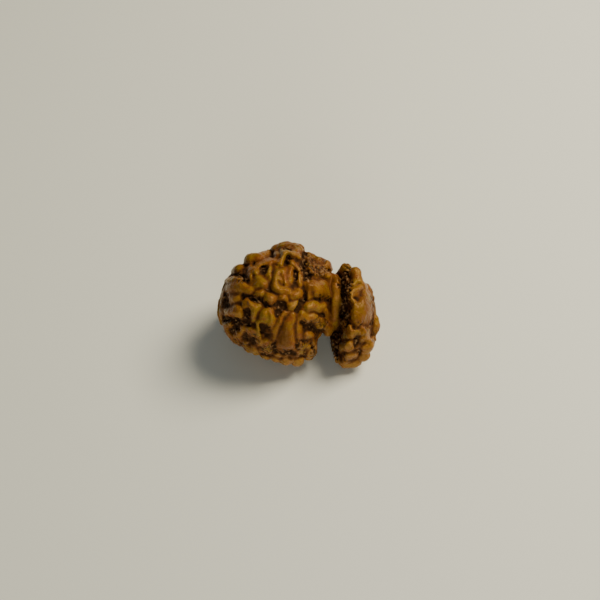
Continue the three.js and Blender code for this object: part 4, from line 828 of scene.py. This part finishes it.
class Field:
    """A box of distances to the wood, sampled at every cell."""

    def __init__(self, cell: float) -> None:
        """Lays out the box.

        Args:
            cell: Width of a cell, in steps.
        """
        self.cell = cell
        self.axes = [np.arange(low, high, cell) for low, high in zip(LOW, HIGH)]
        self.grid = np.meshgrid(*self.axes, indexing="ij")
        self.shifted = drifted(*self.grid)
        self.values = np.zeros(self.grid[0].shape)

    def part(self, low: Sequence[float], high: Sequence[float]) -> tuple[slice, slice, slice]:
        """Gives the slices of the box that hold two corners."""
        first = [int(np.searchsorted(axis, value)) for axis, value in zip(self.axes, low)]
        last = [int(np.searchsorted(axis, value)) for axis, value in zip(self.axes, high)]
        return tuple(slice(a, b) for a, b in zip(first, last))

    def add_rod(self, path: np.ndarray, halves: Sequence[float], relief: Relief,
                blend: float = BLENDS.ridge) -> None:
        """Raises or cuts a round rod along a path.

        Args:
            path: Its points, in steps.
            halves: Its half width at each point.
            relief: Whether it is raised or cut.
            blend: How softly a raised rod runs into the wood.
        """
        reach = max(halves) + MARGIN
        box = self.part(path.min(0) - reach, path.max(0) + reach)
        spots = [shifted[box] for shifted in self.shifted]
        if spots[0].size == 0:
            return
        distance = rod_distance(*spots, path, halves)
        if relief is Relief.RAISED:
            self.values[box] = soft_min(self.values[box], distance, blend)
        else:
            self.values[box] = soft_max(self.values[box], -distance, BLENDS.pit)

    def add_ridge(self, spots: list[tuple[Place, Place]], halves: Sequence[float], height: float) -> None:
        """Raises a ridge: rods stacked from its crest down into the stone."""
        thinnest = min(halves)
        sunk = 0.0
        while sunk < height - thinnest + BURIED:
            path = [at + normal * (height - half - sunk) for (at, normal), half in zip(spots, halves)]
            self.add_rod(np.array(path), [half + FLANK * sunk for half in halves], Relief.RAISED)
            sunk += STACKING * thinnest

    def add_pit(self, spots: list[tuple[Place, Place]], halves: Sequence[float], depth: float) -> None:
        """Cuts a pit: rods stacked from its floor up out of the stone."""
        floor = max(halves) - depth
        lift = floor
        while lift < CLEAR:
            wide = [half + PIT_FLANK * (lift - floor) for half in halves]
            self.add_rod(np.array([at + normal * lift for at, normal in spots]), wide, Relief.CUT)
            lift += STACKING * min(halves)

    def sampled(self, values: np.ndarray, spots: np.ndarray) -> np.ndarray:
        """Reads values between the samples.

        Args:
            values: Numbers for the whole box.
            spots: Places to read at, in cells.

        Returns:
            One number for each place.
        """
        top = np.array(values.shape) - 1.001
        spots = np.clip(spots, 0.0, top)
        base = spots.astype(int)
        share = spots - base
        result = np.zeros(len(spots))
        for corner in range(8):
            bits = np.array([corner & 1, (corner >> 1) & 1, (corner >> 2) & 1])
            weight = np.prod(np.where(bits, share, 1.0 - share), axis=1)
            i, j, k = (base + bits).T
            result += weight * values[i, j, k]
        return result


class SeedForm:
    """The whole seed as one field: both stones, the neck and the join ridge."""

    def __init__(self, cell: float) -> None:
        """Builds the field.

        Args:
            cell: Width of a cell, in steps.
        """
        self.large = Stone(LARGE_LOBES, LARGE_KNOBS)
        self.small = Stone(SMALL_LOBES, SMALL_KNOBS)
        self.neck = Stone(NECK_LOBES)
        self.field = Field(cell)
        grid = self.field.grid
        bare_large = self.large.lobes_distance(*grid)
        bare_small = self.small.lobes_distance(*grid)
        bare_neck = self.neck.lobes_distance(*grid)
        self.bare = np.minimum(np.minimum(bare_large, bare_small), bare_neck)
        large = self.make_stone(self.large, bare_large, LARGE_WORMS, GROOVE_ANGLES,
                                LARGE_SLABS + FINE_SLABS, LARGE_RIDGES + FINE_RIDGES, LARGE_PITS)
        small = self.make_stone(self.small, bare_small, SMALL_WORMS, (),
                                SMALL_SLABS, SMALL_RIDGES, SMALL_PITS)
        joined = soft_min(large, small, BLENDS.stone)
        self.field.values = soft_min(joined, bare_neck, BLENDS.neck)
        for layer in range(JOIN_LAYERS):
            path = np.array(JOIN_PLACES, dtype=float) - (0.0, 0.0, layer * JOIN_HALVES[0])
            self.field.add_rod(path, JOIN_HALVES, Relief.RAISED, JOIN_BLEND)
        foot = height_of(grid[1], grid[2])
        self.field.values = np.maximum(self.field.values, -foot)

    def make_stone(self, stone: Stone, bare: np.ndarray, worms: Worms, grooves: Sequence[float],
                   slabs: Sequence[Slab], ridges: Sequence[Stroke], pits: Sequence[Stroke]) -> np.ndarray:
        """Gives one stone its relief.

        Args:
            stone: The bare stone.
            bare: Distances to it over the whole box.
            worms: The ridges of its far side.
            grooves: Angles of its far grooves.
            slabs: Drawn slabs.
            ridges: Drawn ridges.
            pits: Drawn pits.

        Returns:
            Distances to the finished stone.
        """
        field = self.field
        field.values = stone.with_knobs(bare + VALLEY_DEPTH, *field.grid)
        self.add_worms(stone, worms)
        for angle in grooves:
            self.add_groove(stone, worms, angle)
        relief = ReliefMap()
        for slab in slabs:
            relief.raise_slab(slab)
        for ridge in ridges:
            relief.raise_ridge(ridge)
        for pit in pits:
            relief.cut_pit(pit)
        relief.soften()
        return field.values - relief.at(*field.shifted)

    def add_worms(self, stone: Stone, worms: Worms) -> None:
        """Spreads worm-like ridges evenly over the sides that the drawing doesn't show."""
        for site in range(worms.count):
            rise = 1.0 - 2.0 * (site + 0.5) / worms.count
            turn = site * GOLDEN_TURN + 0.35 * chance(site, worms.draw)
            level = math.sqrt(1.0 - rise * rise)
            aim = np.array([level * math.cos(turn), rise, level * math.sin(turn)])
            at, normal = stone.settle(np.array(worms.middle) + aim * worms.reach)
            if normal[2] > DRAWN_SIDE or height_of(at[1], at[2]) < FOOT_CLEARANCE:
                continue
            if stone.knob_gap(at) < KNOB_CLEARANCE and normal[2] > WORM_START:
                continue
            sideways = np.cross(normal, (0.0, 1.0, 0.0))
            sideways /= max(float(np.linalg.norm(sideways)), 1e-9)
            upward = np.cross(sideways, normal)
            heading = (chance(site, worms.draw + 1) - 0.5) * 2.6
            length = 5.0 + 11.0 * chance(site, worms.draw + 2)
            bend = (chance(site, worms.draw + 3) - 0.5) * 1.5
            half = 3.2 + 2.2 * chance(site, worms.draw + 4)
            far = min(max((WORM_START - normal[2]) / WORM_GRADE, 0.0), 1.0)
            height = WORM_LOW + (WORM_HEIGHT - WORM_LOW) * far + 1.2 * (chance(site, worms.draw + 5) - 0.5)
            spots = []
            for share in (-1.0, -0.33, 0.33, 1.0):
                angle = heading + bend * share
                way = upward * math.cos(angle) + sideways * math.sin(angle)
                spots.append(stone.settle(at + way * (0.8 * length * share)))
            halves = [half * 0.85, half * 1.1, half, half * 0.8]
            self.field.add_ridge(spots, halves, height)

    def add_groove(self, stone: Stone, worms: Worms, angle: float) -> None:
        """Cuts a groove from crown to foot at an angle about v."""
        spots = []
        for part in range(GROOVE_PARTS + 1):
            rise = GROOVE_BEND * (2.0 * part / GROOVE_PARTS - 1.0)
            aim = np.array([math.cos(rise) * math.sin(angle), math.sin(rise), math.cos(rise) * math.cos(angle)])
            spots.append(stone.settle(np.array(worms.middle) + aim * worms.reach))
        self.field.add_pit(spots, [GROOVE_HALF] * len(spots), GROOVE_DEPTH)


@dataclass(frozen=True)
class Grain:
    """Fine relief of the surface, in steps."""

    coarse_size: float = 6.0
    coarse_height: float = 1.0
    fine_size: float = 2.6
    fine_height: float = 0.75
    granule_size: float = 2.6
    grit_size: float = 1.5
    granule_height: float = 3.0
    crest_share: float = 0.42
    valley_top: float = 3.4
    valley_floor: float = -0.6
    rough_start: float = 1.6
    rough_end: float = -1.6


class SeedSurface:
    """The seed's mesh, read off its field."""

    def __init__(self, form: SeedForm, grain: Grain) -> None:
        """Meshes the field and gives it its grain.

        Args:
            form: The seed's form.
            grain: The fine relief.
        """
        self.form = form
        self.grain = grain
        spots, self.quads = self.whole(*self.nets(form.field.values))
        self.height = form.field.sampled(form.bare, spots)
        near = np.clip(form.field.values, -6.0, 6.0)
        self.hollow = form.field.sampled(self.smoothed(near, 3.9), spots)
        # How closed in each place is, used for the painted shade in the crevices
        self.crevice_shade = form.field.sampled(self.smoothed(near, 1.3), spots)
        slopes = [form.field.sampled(slope, spots) for slope in np.gradient(form.field.values)]
        normals = np.stack(slopes, axis=1)
        normals /= np.linalg.norm(normals, axis=1, keepdims=True) + 1e-9
        steps = spots * form.field.cell + np.array(LOW)
        self.rough = np.maximum(self.share_of(PATCHES, steps), self.valley_share(grain.rough_start, grain.rough_end))
        # Patches of browner wood with painted shade, and patches of painted light
        self.browning_and_shade = self.share_of(BROWNING_AND_SHADE, steps)
        self.painted_light = self.share_of(PAINTED_LIGHT, steps)
        self.granules = np.array([
            noise.noise(Vector(spot) / grain.granule_size) + 0.45 * noise.noise(Vector(spot) / grain.grit_size)
            for spot in steps
        ])
        self.granules *= np.clip([0.9 + 1.1 * noise.noise(Vector(spot) / 6.5) for spot in steps], 0.4, 1.5)
        self.steps = steps + normals * self.grain_at(steps)[:, None]

    @staticmethod
    def nets(values: np.ndarray) -> tuple[np.ndarray, np.ndarray]:
        """Meshes the place where the values are 0: one point in each cell that it crosses.

        Args:
            values: Distances over the whole box.

        Returns:
            The points, in cells, and the quads that join them, facing out.
        """
        inside = values < 0
        size = values.shape
        cells = tuple(n - 1 for n in size)
        count = np.zeros(cells, dtype=np.int8)
        total = [np.zeros(cells) for _ in range(3)]
        for axis in range(3):
            others = [a for a in range(3) if a != axis]
            start = np.moveaxis(values, axis, 0)[:-1]
            end = np.moveaxis(values, axis, 0)[1:]
            crossed = (start < 0) != (end < 0)
            share = np.where(crossed, start / np.where(crossed, start - end, 1.0), 0.0)
            crossed = np.moveaxis(crossed, 0, axis)
            share = np.moveaxis(share, 0, axis)
            for shift_a in (0, 1):
                for shift_b in (0, 1):
                    part = [slice(None)] * 3
                    part[others[0]] = slice(shift_a, shift_a + cells[others[0]])
                    part[others[1]] = slice(shift_b, shift_b + cells[others[1]])
                    here = crossed[tuple(part)]
                    count += here
                    total[axis] += share[tuple(part)]
                    total[others[0]] += here * shift_a
                    total[others[1]] += here * shift_b
        used = count > 0
        number = np.full(cells, -1)
        number[used] = np.arange(int(used.sum()))
        corner = np.argwhere(used)
        points = corner + np.stack([part[used] / count[used] for part in total], axis=1)
        quads = []
        for axis in range(3):
            a, b = [(axis + 1) % 3, (axis + 2) % 3]
            start = [slice(1, n - 1) for n in size]
            end = list(start)
            start[axis] = slice(0, size[axis] - 1)
            end[axis] = slice(1, size[axis])
            first = inside[tuple(start)]
            crossed = np.argwhere(first != inside[tuple(end)])
            leaving = first[tuple(crossed.T)]
            base = crossed.copy()
            base[:, a] += 1
            base[:, b] += 1
            ring = []
            for back_a, back_b in ((0, 0), (1, 0), (1, 1), (0, 1)):
                cell = base.copy()
                cell[:, a] -= back_a
                cell[:, b] -= back_b
                ring.append(number[tuple(cell.T)])
            ring = np.stack(ring, axis=1)
            quads.append(np.where(leaving[:, None], ring, ring[:, ::-1]))
        return points, np.concatenate(quads)

    @staticmethod
    def whole(points: np.ndarray, quads: np.ndarray) -> tuple[np.ndarray, np.ndarray]:
        """Keeps the largest connected body and drops loose crumbs.

        Args:
            points: The mesh's points.
            quads: Its quads.

        Returns:
            The points and quads of that body.
        """
        label = np.arange(len(points))
        while True:
            least = label[quads].min(axis=1)
            fresh = label.copy()
            for corner in range(4):
                np.minimum.at(fresh, quads[:, corner], least)
            fresh = fresh[fresh]
            if np.array_equal(fresh, label):
                break
            label = fresh
        bodies, sizes = np.unique(label[quads[:, 0]], return_counts=True)
        kept = label == bodies[np.argmax(sizes)]
        number = np.cumsum(kept) - 1
        return points[kept], number[quads[kept[quads[:, 0]]]]

    def smoothed(self, values: np.ndarray, radius: float) -> np.ndarray:
        """Averages values over boxes about each sample.

        Args:
            values: Numbers for the whole box.
            radius: Half width of the averaged boxes, in steps.

        Returns:
            The averages, for the whole box.
        """
        reach = max(1, round(radius / self.form.field.cell))
        for axis in range(3):
            padded = np.concatenate([np.repeat(np.take(values, [0], axis), reach + 1, axis), values,
                                     np.repeat(np.take(values, [-1], axis), reach, axis)], axis)
            running = np.cumsum(padded, axis=axis)
            ahead = np.take(running, range(2 * reach + 1, running.shape[axis]), axis)
            behind = np.take(running, range(0, running.shape[axis] - 2 * reach - 1), axis)
            values = (ahead - behind) / (2 * reach + 1)
        return values

    @staticmethod
    def share_of(patches: Sequence[Patch], steps: np.ndarray) -> np.ndarray:
        """Gives how far each place lies in some patches, from 0 to their own darkness."""
        u, v, w = steps.T
        nearness = 1.0 - w / VIEW.distance
        x = u / nearness + VIEW.middle_x
        y = VIEW.middle_y - v / nearness
        most = np.zeros(len(steps))
        for patch in patches:
            gap = np.hypot((x - patch.x) / patch.half_x, (y - patch.y) / patch.half_y)
            most = np.maximum(most, patch.dark * np.clip(1.5 * (1.2 - gap), 0.0, 1.0))
        front = np.clip((w - PATCH_START) / (PATCH_END - PATCH_START), 0.0, 1.0)
        return most * front

    def valley_share(self, start: float, end: float) -> np.ndarray:
        """Gives how far each place lies down in a valley, from 0 to 1."""
        return np.clip((start - self.height) / (start - end), 0.0, 1.0)

    def grain_at(self, steps: np.ndarray) -> np.ndarray:
        """Gives the fine relief at each place: rough in the valleys and low on the crests."""
        grain = self.grain
        rough = np.array([
            grain.coarse_height * noise.noise(Vector(spot) / grain.coarse_size)
            + grain.fine_height * noise.noise(Vector(spot) / grain.fine_size)
            for spot in steps
        ])
        depth = self.valley_share(grain.valley_top, grain.valley_floor)
        foot = np.clip(height_of(steps[:, 1], steps[:, 2]) / 1.5, 0.0, 1.0)
        wear_and_painted_light = rough * (grain.crest_share + (1.0 - grain.crest_share) * depth)
        return (wear_and_painted_light + grain.granule_height * self.granules * self.rough) * foot

    def build(self, name: str, box: tuple[Vector, Vector]) -> bpy.types.Object:
        """Makes the Blender object.

        Args:
            name: The object's name.
            box: Lowest and highest corners that it has to fit, in metres.

        Returns:
            The object, with its relief kept as attributes.
        """
        u, v, w = self.steps.T
        back = v * math.sin(VIEW.rise) - w * math.cos(VIEW.rise)
        world = np.stack([u, back, np.maximum(height_of(v, w), 0.0)], axis=1)
        low = np.array(box[0])
        high = np.array(box[1])
        self.scale = float(((high - low) / (world.max(0) - world.min(0))).min())
        self.shift = (low + high) / 2 - self.scale * (world.max(0) + world.min(0)) / 2
        self.shift[2] = low[2]
        world = world * self.scale + self.shift
        mesh = bpy.data.meshes.new(name)
        mesh.from_pydata(world.tolist(), [], self.quads.tolist())
        for label, values in (("height", self.height), ("hollow", self.hollow), ("crevice_shade", self.crevice_shade),
                              ("rough", self.rough), ("grit", self.granules * self.rough),
                              ("browning_and_shade", self.browning_and_shade), ("painted_light", self.painted_light)):
            attribute = mesh.attributes.new(label, "FLOAT", "POINT")
            attribute.data.foreach_set("value", values.astype(np.float32))
        mesh.shade_smooth()
        mesh.update()
        piece = bpy.data.objects.new(name, mesh)
        bpy.context.scene.collection.objects.link(piece)
        return piece

    def world_place(self, u: float, v: float, w: float) -> Vector:
        """Gives the place in the room of a place on the drawing, in metres."""
        back = v * math.sin(VIEW.rise) - w * math.cos(VIEW.rise)
        return Vector(np.array([u, back, height_of(v, w)]) * self.scale + self.shift)


@dataclass(frozen=True)
class WoodFinish:
    """Colours and gloss of the woody stone."""

    crest: tuple[float, float, float] = (0.2, 0.074, 0.0085)
    bright: tuple[float, float, float] = (0.265, 0.116, 0.012)
    olive: tuple[float, float, float] = (0.2, 0.116, 0.006)
    rust: tuple[float, float, float] = (0.18, 0.048, 0.012)
    # flank and valley: darker wood down the sides and in the valleys, which also carries painted shade in the
    # hollows
    flank: tuple[float, float, float] = (0.12, 0.036, 0.006)
    valley: tuple[float, float, float] = (0.023, 0.008, 0.003)
    # Pale colour of the painted light on the foot and in the lightened patches
    wear_and_painted_light: tuple[float, float, float] = (0.32, 0.145, 0.03)
    # Colour of the patches of browner wood and painted shade
    brown: tuple[float, float, float] = (0.105, 0.035, 0.005)
    speck: tuple[float, float, float] = (0.22, 0.117, 0.045)
    # Cream of the painted highlight on the knob tops
    painted_highlight: tuple[float, float, float] = (0.33, 0.162, 0.03)
    sheen: tuple[float, float, float] = (1.0, 0.6, 0.22)
    crest_roughness: float = 0.3
    valley_roughness: float = 0.8
    grain_size: float = 0.00022
    pore_size: float = 0.0006


class NodeTree:
    """A small helper that adds nodes and links to a material."""

    def __init__(self, name: str) -> None:
        """Starts an empty material.

        Args:
            name: The material's name.
        """
        self.material = bpy.data.materials.new(name)
        self.material.use_nodes = True
        self.nodes = self.material.node_tree.nodes
        self.links = self.material.node_tree.links
        self.nodes.clear()

    def add(self, kind: str, inputs: dict | None = None, **settings: object) -> bpy.types.Node:
        """Adds one node.

        Args:
            kind: The node's type.
            inputs: Values or output sockets for its inputs, by name or number.
            **settings: The node's own settings.

        Returns:
            The node.
        """
        node = self.nodes.new(kind)
        for key, value in settings.items():
            setattr(node, key, value)
        for key, value in (inputs or {}).items():
            if isinstance(value, bpy.types.NodeSocket):
                self.links.new(value, node.inputs[key])
            else:
                node.inputs[key].default_value = value
        return node

    def attribute(self, name: str) -> bpy.types.NodeSocket:
        """Reads one number kept on the mesh."""
        return self.add("ShaderNodeAttribute", attribute_name=name).outputs["Fac"]

    def ramp(self, value: bpy.types.NodeSocket, low: float, high: float,
             start: float = 0.0, end: float = 1.0) -> bpy.types.NodeSocket:
        """Maps a range of values to another one, smoothly and without overshoot."""
        inputs = {0: value, 1: low, 2: high, 3: start, 4: end}
        return self.add("ShaderNodeMapRange", inputs, interpolation_type="SMOOTHSTEP").outputs[0]

    def math(self, operation: str, a: object, b: object = 0.0) -> bpy.types.NodeSocket:
        """Adds one sum, product or the like."""
        return self.add("ShaderNodeMath", {0: a, 1: b}, operation=operation).outputs[0]

    def mix(self, share: object, a: object, b: object) -> bpy.types.NodeSocket:
        """Mixes two colours."""
        node = self.nodes.new("ShaderNodeMix")
        node.data_type = "RGBA"
        for key, value in ((0, share), (6, a), (7, b)):
            if isinstance(value, bpy.types.NodeSocket):
                self.links.new(value, node.inputs[key])
            else:
                node.inputs[key].default_value = value if key == 0 else (*value, 1.0)
        return node.outputs[2]

    def noise(self, place_of: bpy.types.NodeSocket, size: float, detail: float = 2.0,
              roughness: float = 0.5) -> bpy.types.NodeSocket:
        """Adds smooth noise with features of about the given size, in metres."""
        inputs = {"Vector": place_of, "Scale": 1.0 / size, "Detail": detail, "Roughness": roughness}
        return self.add("ShaderNodeTexNoise", inputs).outputs["Fac"]


def make_wood(finish: WoodFinish) -> bpy.types.Material:
    """Makes the stone's wood: caramel crests over dark, rough valleys, with painted shade in the hollows and
    crevices, a painted highlight on the knob tops and painted light on the foot.

    Args:
        finish: Its colours and gloss.

    Returns:
        The material.
    """
    tree = NodeTree("woody_stone")
    spot = tree.add("ShaderNodeTexCoord").outputs["Object"]
    height = tree.attribute("height")
    hollow = tree.attribute("hollow")
    crevice_shade = tree.attribute("crevice_shade")
    rough = tree.attribute("rough")
    grit = tree.attribute("grit")
    blotches = tree.noise(spot, 0.0022, 3.0, 0.6)
    drifts = tree.noise(spot, 0.0035, 2.0, 0.5)
    stains = tree.noise(spot, 0.0013, 3.0, 0.6)
    mottle = tree.noise(spot, 0.0005, 3.0, 0.65)
    specks = tree.noise(spot, 0.0003, 2.0, 0.6)
    fibres = tree.noise(spot, 0.0009, 4.0, 0.6)

    # Colour by height and openness: the valleys darken and the crests lighten, partly the wood's own tone and partly
    # painted shade in the recesses and painted light on the crests
    raised = tree.ramp(height, -1.6, 3.8)
    wavered = tree.math("ADD", raised, tree.math("MULTIPLY", tree.math("SUBTRACT", fibres, 0.5), 0.7))
    open_air = tree.ramp(hollow, -1.4, 1.05)
    lifted = tree.math("MULTIPLY", tree.math("ADD", wavered, open_air), 0.5)
    flank = tree.mix(tree.ramp(lifted, 0.18, 0.52), finish.valley, finish.flank)
    warm = tree.mix(tree.ramp(blotches, 0.4, 0.68), finish.crest, finish.bright)
    aged = tree.mix(tree.math("MULTIPLY", tree.ramp(drifts, 0.46, 0.62), 0.75), warm, finish.olive)
    stained = tree.mix(tree.math("MULTIPLY", tree.ramp(stains, 0.5, 0.64), 0.75), aged, finish.rust)
    # Painted highlight: the knob tops are lightened towards a cream colour
    highlighted = tree.mix(tree.ramp(hollow, 0.75, 1.9, 0.0, 0.6), stained, finish.painted_highlight)
    level = tree.add("ShaderNodeSeparateXYZ", {0: spot}).outputs[2]
    # Painted light: the lowest parts lighten towards a pale colour, as bounce light from the floor would
    painted_foot_light = tree.mix(tree.ramp(level, 0.0075, 0.0035, 0.0, 0.55), highlighted, finish.wear_and_painted_light)
    # Painted light in the lightened patches
    painted_light = tree.mix(tree.attribute("painted_light"), painted_foot_light, finish.wear_and_painted_light)
    # Browner wood and painted shade in the darkened patches
    browning_and_shade = tree.mix(tree.attribute("browning_and_shade"), painted_light, finish.brown)
    crest = tree.mix(tree.ramp(specks, 0.52, 0.68, 0.0, 0.28), browning_and_shade, finish.flank)
    wood = tree.mix(tree.ramp(lifted, 0.47, 0.85), flank, crest)
    # Painted shade: crevices darken towards the valley colour
    shade = tree.ramp(crevice_shade, -0.6, 0.06, 0.25, 1.0)
    dark = tree.mix(shade, finish.valley, wood)
    # Painted shade and dark grit: low places and granular patches darken in mottles towards the valley colour
    deep = tree.math("MAXIMUM", rough, tree.math("MULTIPLY", tree.ramp(lifted, 0.62, 0.2), 0.8))
    hollow_shade_and_grit = tree.mix(tree.math("MULTIPLY", deep, tree.ramp(mottle, 0.6, 0.42)), dark, finish.valley)
    dusted = tree.mix(tree.math("MULTIPLY", tree.ramp(specks, 0.58, 0.7), 0.4), hollow_shade_and_grit, finish.flank)
    dipped = tree.mix(tree.ramp(grit, 0.02, -0.16, 0.0, 0.9), dusted, finish.valley)
    granular = tree.mix(tree.ramp(grit, 0.09, 0.3, 0.0, 0.8), dipped, finish.speck)

    gloss = tree.ramp(lifted, 0.3, 0.85, finish.valley_roughness, finish.crest_roughness)
    roughness = tree.math("ADD", gloss, tree.math("MULTIPLY", tree.math("SUBTRACT", mottle, 0.5), 0.35))
    fine = tree.noise(spot, finish.grain_size, 3.0, 0.6)
    pored = tree.noise(spot, finish.pore_size, 2.0, 0.5)
    relief = tree.math("ADD", tree.math("MULTIPLY", fine, 0.5), pored)
    bump = tree.add("ShaderNodeBump", {"Strength": 0.8, "Distance": 0.00015, "Height": relief})
    shader = tree.add("ShaderNodeBsdfPrincipled", {
        "Base Color": granular,
        "Roughness": roughness,
        "Normal": bump.outputs[0],
        "Specular IOR Level": 0.27,
        "Specular Tint": (*finish.sheen, 1.0),
    })
    tree.add("ShaderNodeOutputMaterial", {"Surface": shader.outputs[0]})
    return tree.material


@dataclass(frozen=True)
class Studio:
    """The floor, the soft light and the camera.

    Args:
        floor_colour: The pale floor's colour.
        sky: Strength of the light from all round.
        window_aim: Direction from the seed to the large soft light.
        window_size: The light's width, in seed lengths.
        window_far: Its distance, in seed lengths.
        window_power: Its power, in watts.
    """

    floor_colour: tuple[float, float, float] = (0.85, 0.845, 0.69)
    sky_colour: tuple[float, float, float] = (0.84, 0.95, 1.12)
    sky: float = 0.112
    window_aim: tuple[float, float, float] = (0.66, 0.35, 0.94)
    window_size: float = 7.0
    window_far: float = 14.0
    window_power: float = 1.67
    light_colour: tuple[float, float, float] = (1.0, 0.92, 0.79)
    fill_aim: tuple[float, float, float] = (0.04, -0.94, 0.22)
    fill_size: float = 6.0
    fill_power: float = 0.5
    fill_colour: tuple[float, float, float] = (0.93, 0.96, 0.97)

    def add_floor(self, seed_length: float) -> None:
        """Lays the pale floor under the seed."""
        tree = NodeTree("pale_floor")
        shader = tree.add("ShaderNodeBsdfPrincipled", {"Base Color": (*self.floor_colour, 1.0), "Roughness": 0.6})
        tree.add("ShaderNodeOutputMaterial", {"Surface": shader.outputs[0]})
        reach = 40 * seed_length
        mesh = bpy.data.meshes.new("floor")
        corners = [(-reach, -reach, 0.0), (reach, -reach, 0.0), (reach, reach, 0.0), (-reach, reach, 0.0)]
        mesh.from_pydata(corners, [], [(0, 1, 2, 3)])
        mesh.materials.append(tree.material)
        floor = bpy.data.objects.new("floor", mesh)
        bpy.context.scene.collection.objects.link(floor)
        floor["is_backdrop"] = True

    def add_light(self, seed_length: float) -> None:
        """Hangs the two soft lights and sets the light from all round."""
        for name, toward, size, power, colour in (
            ("window", self.window_aim, self.window_size, self.window_power, self.light_colour),
            ("fill", self.fill_aim, self.fill_size, self.fill_power, self.fill_colour),
        ):
            lamp = bpy.data.lights.new(name, "AREA")
            lamp.shape = "SQUARE"
            lamp.size = size * seed_length
            lamp.energy = power
            lamp.color = colour
            light = bpy.data.objects.new(name, lamp)
            aim = Vector(toward).normalized()
            light.location = aim * (self.window_far * seed_length)
            light.rotation_euler = (-aim).to_track_quat("-Z", "Y").to_euler()
            bpy.context.scene.collection.objects.link(light)
        world = bpy.data.worlds.new("sky")
        world.use_nodes = True
        background = world.node_tree.nodes["Background"]
        background.inputs["Color"].default_value = (*self.sky_colour, 1.0)
        background.inputs["Strength"].default_value = self.sky
        bpy.context.scene.world = world

    def add_camera(self, surface: SeedSurface) -> None:
        """Stands the camera where the drawing is seen from."""
        data = bpy.data.cameras.new("camera")
        data.sensor_width = 36.0
        data.lens = data.sensor_width * VIEW.distance / VIEW.photo_width
        data.clip_start = 0.001
        data.clip_end = 20.0
        camera = bpy.data.objects.new("camera", data)
        across = VIEW.photo_middle[0] - VIEW.middle_x
        upward = VIEW.middle_y - VIEW.photo_middle[1]
        camera.location = surface.world_place(across, upward, VIEW.distance)
        camera.rotation_euler = (math.pi / 2 - VIEW.rise, 0.0, 0.0)
        bpy.context.scene.collection.objects.link(camera)
        bpy.context.scene.camera = camera


def main() -> None:
    """Builds the seed, its look and the studio, and notes the sizes."""
    logging.basicConfig(level=logging.INFO, format="%(message)s")
    node_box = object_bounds()
    surface = SeedSurface(SeedForm(CELL), Grain())
    seed = surface.build("twin_stone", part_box(SEED_NODE))
    seed.data.materials.append(make_wood(WoodFinish()))
    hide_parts(SEED_NODE)
    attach(seed, "root")
    LOG.info("seed: %d points, %d faces", len(seed.data.vertices), len(seed.data.polygons))
    studio = Studio()
    seed_length = node_box[1][0] - node_box[0][0]
    studio.add_floor(seed_length)
    studio.add_light(seed_length)
    studio.add_camera(surface)


if __name__ == "__main__":
    main()
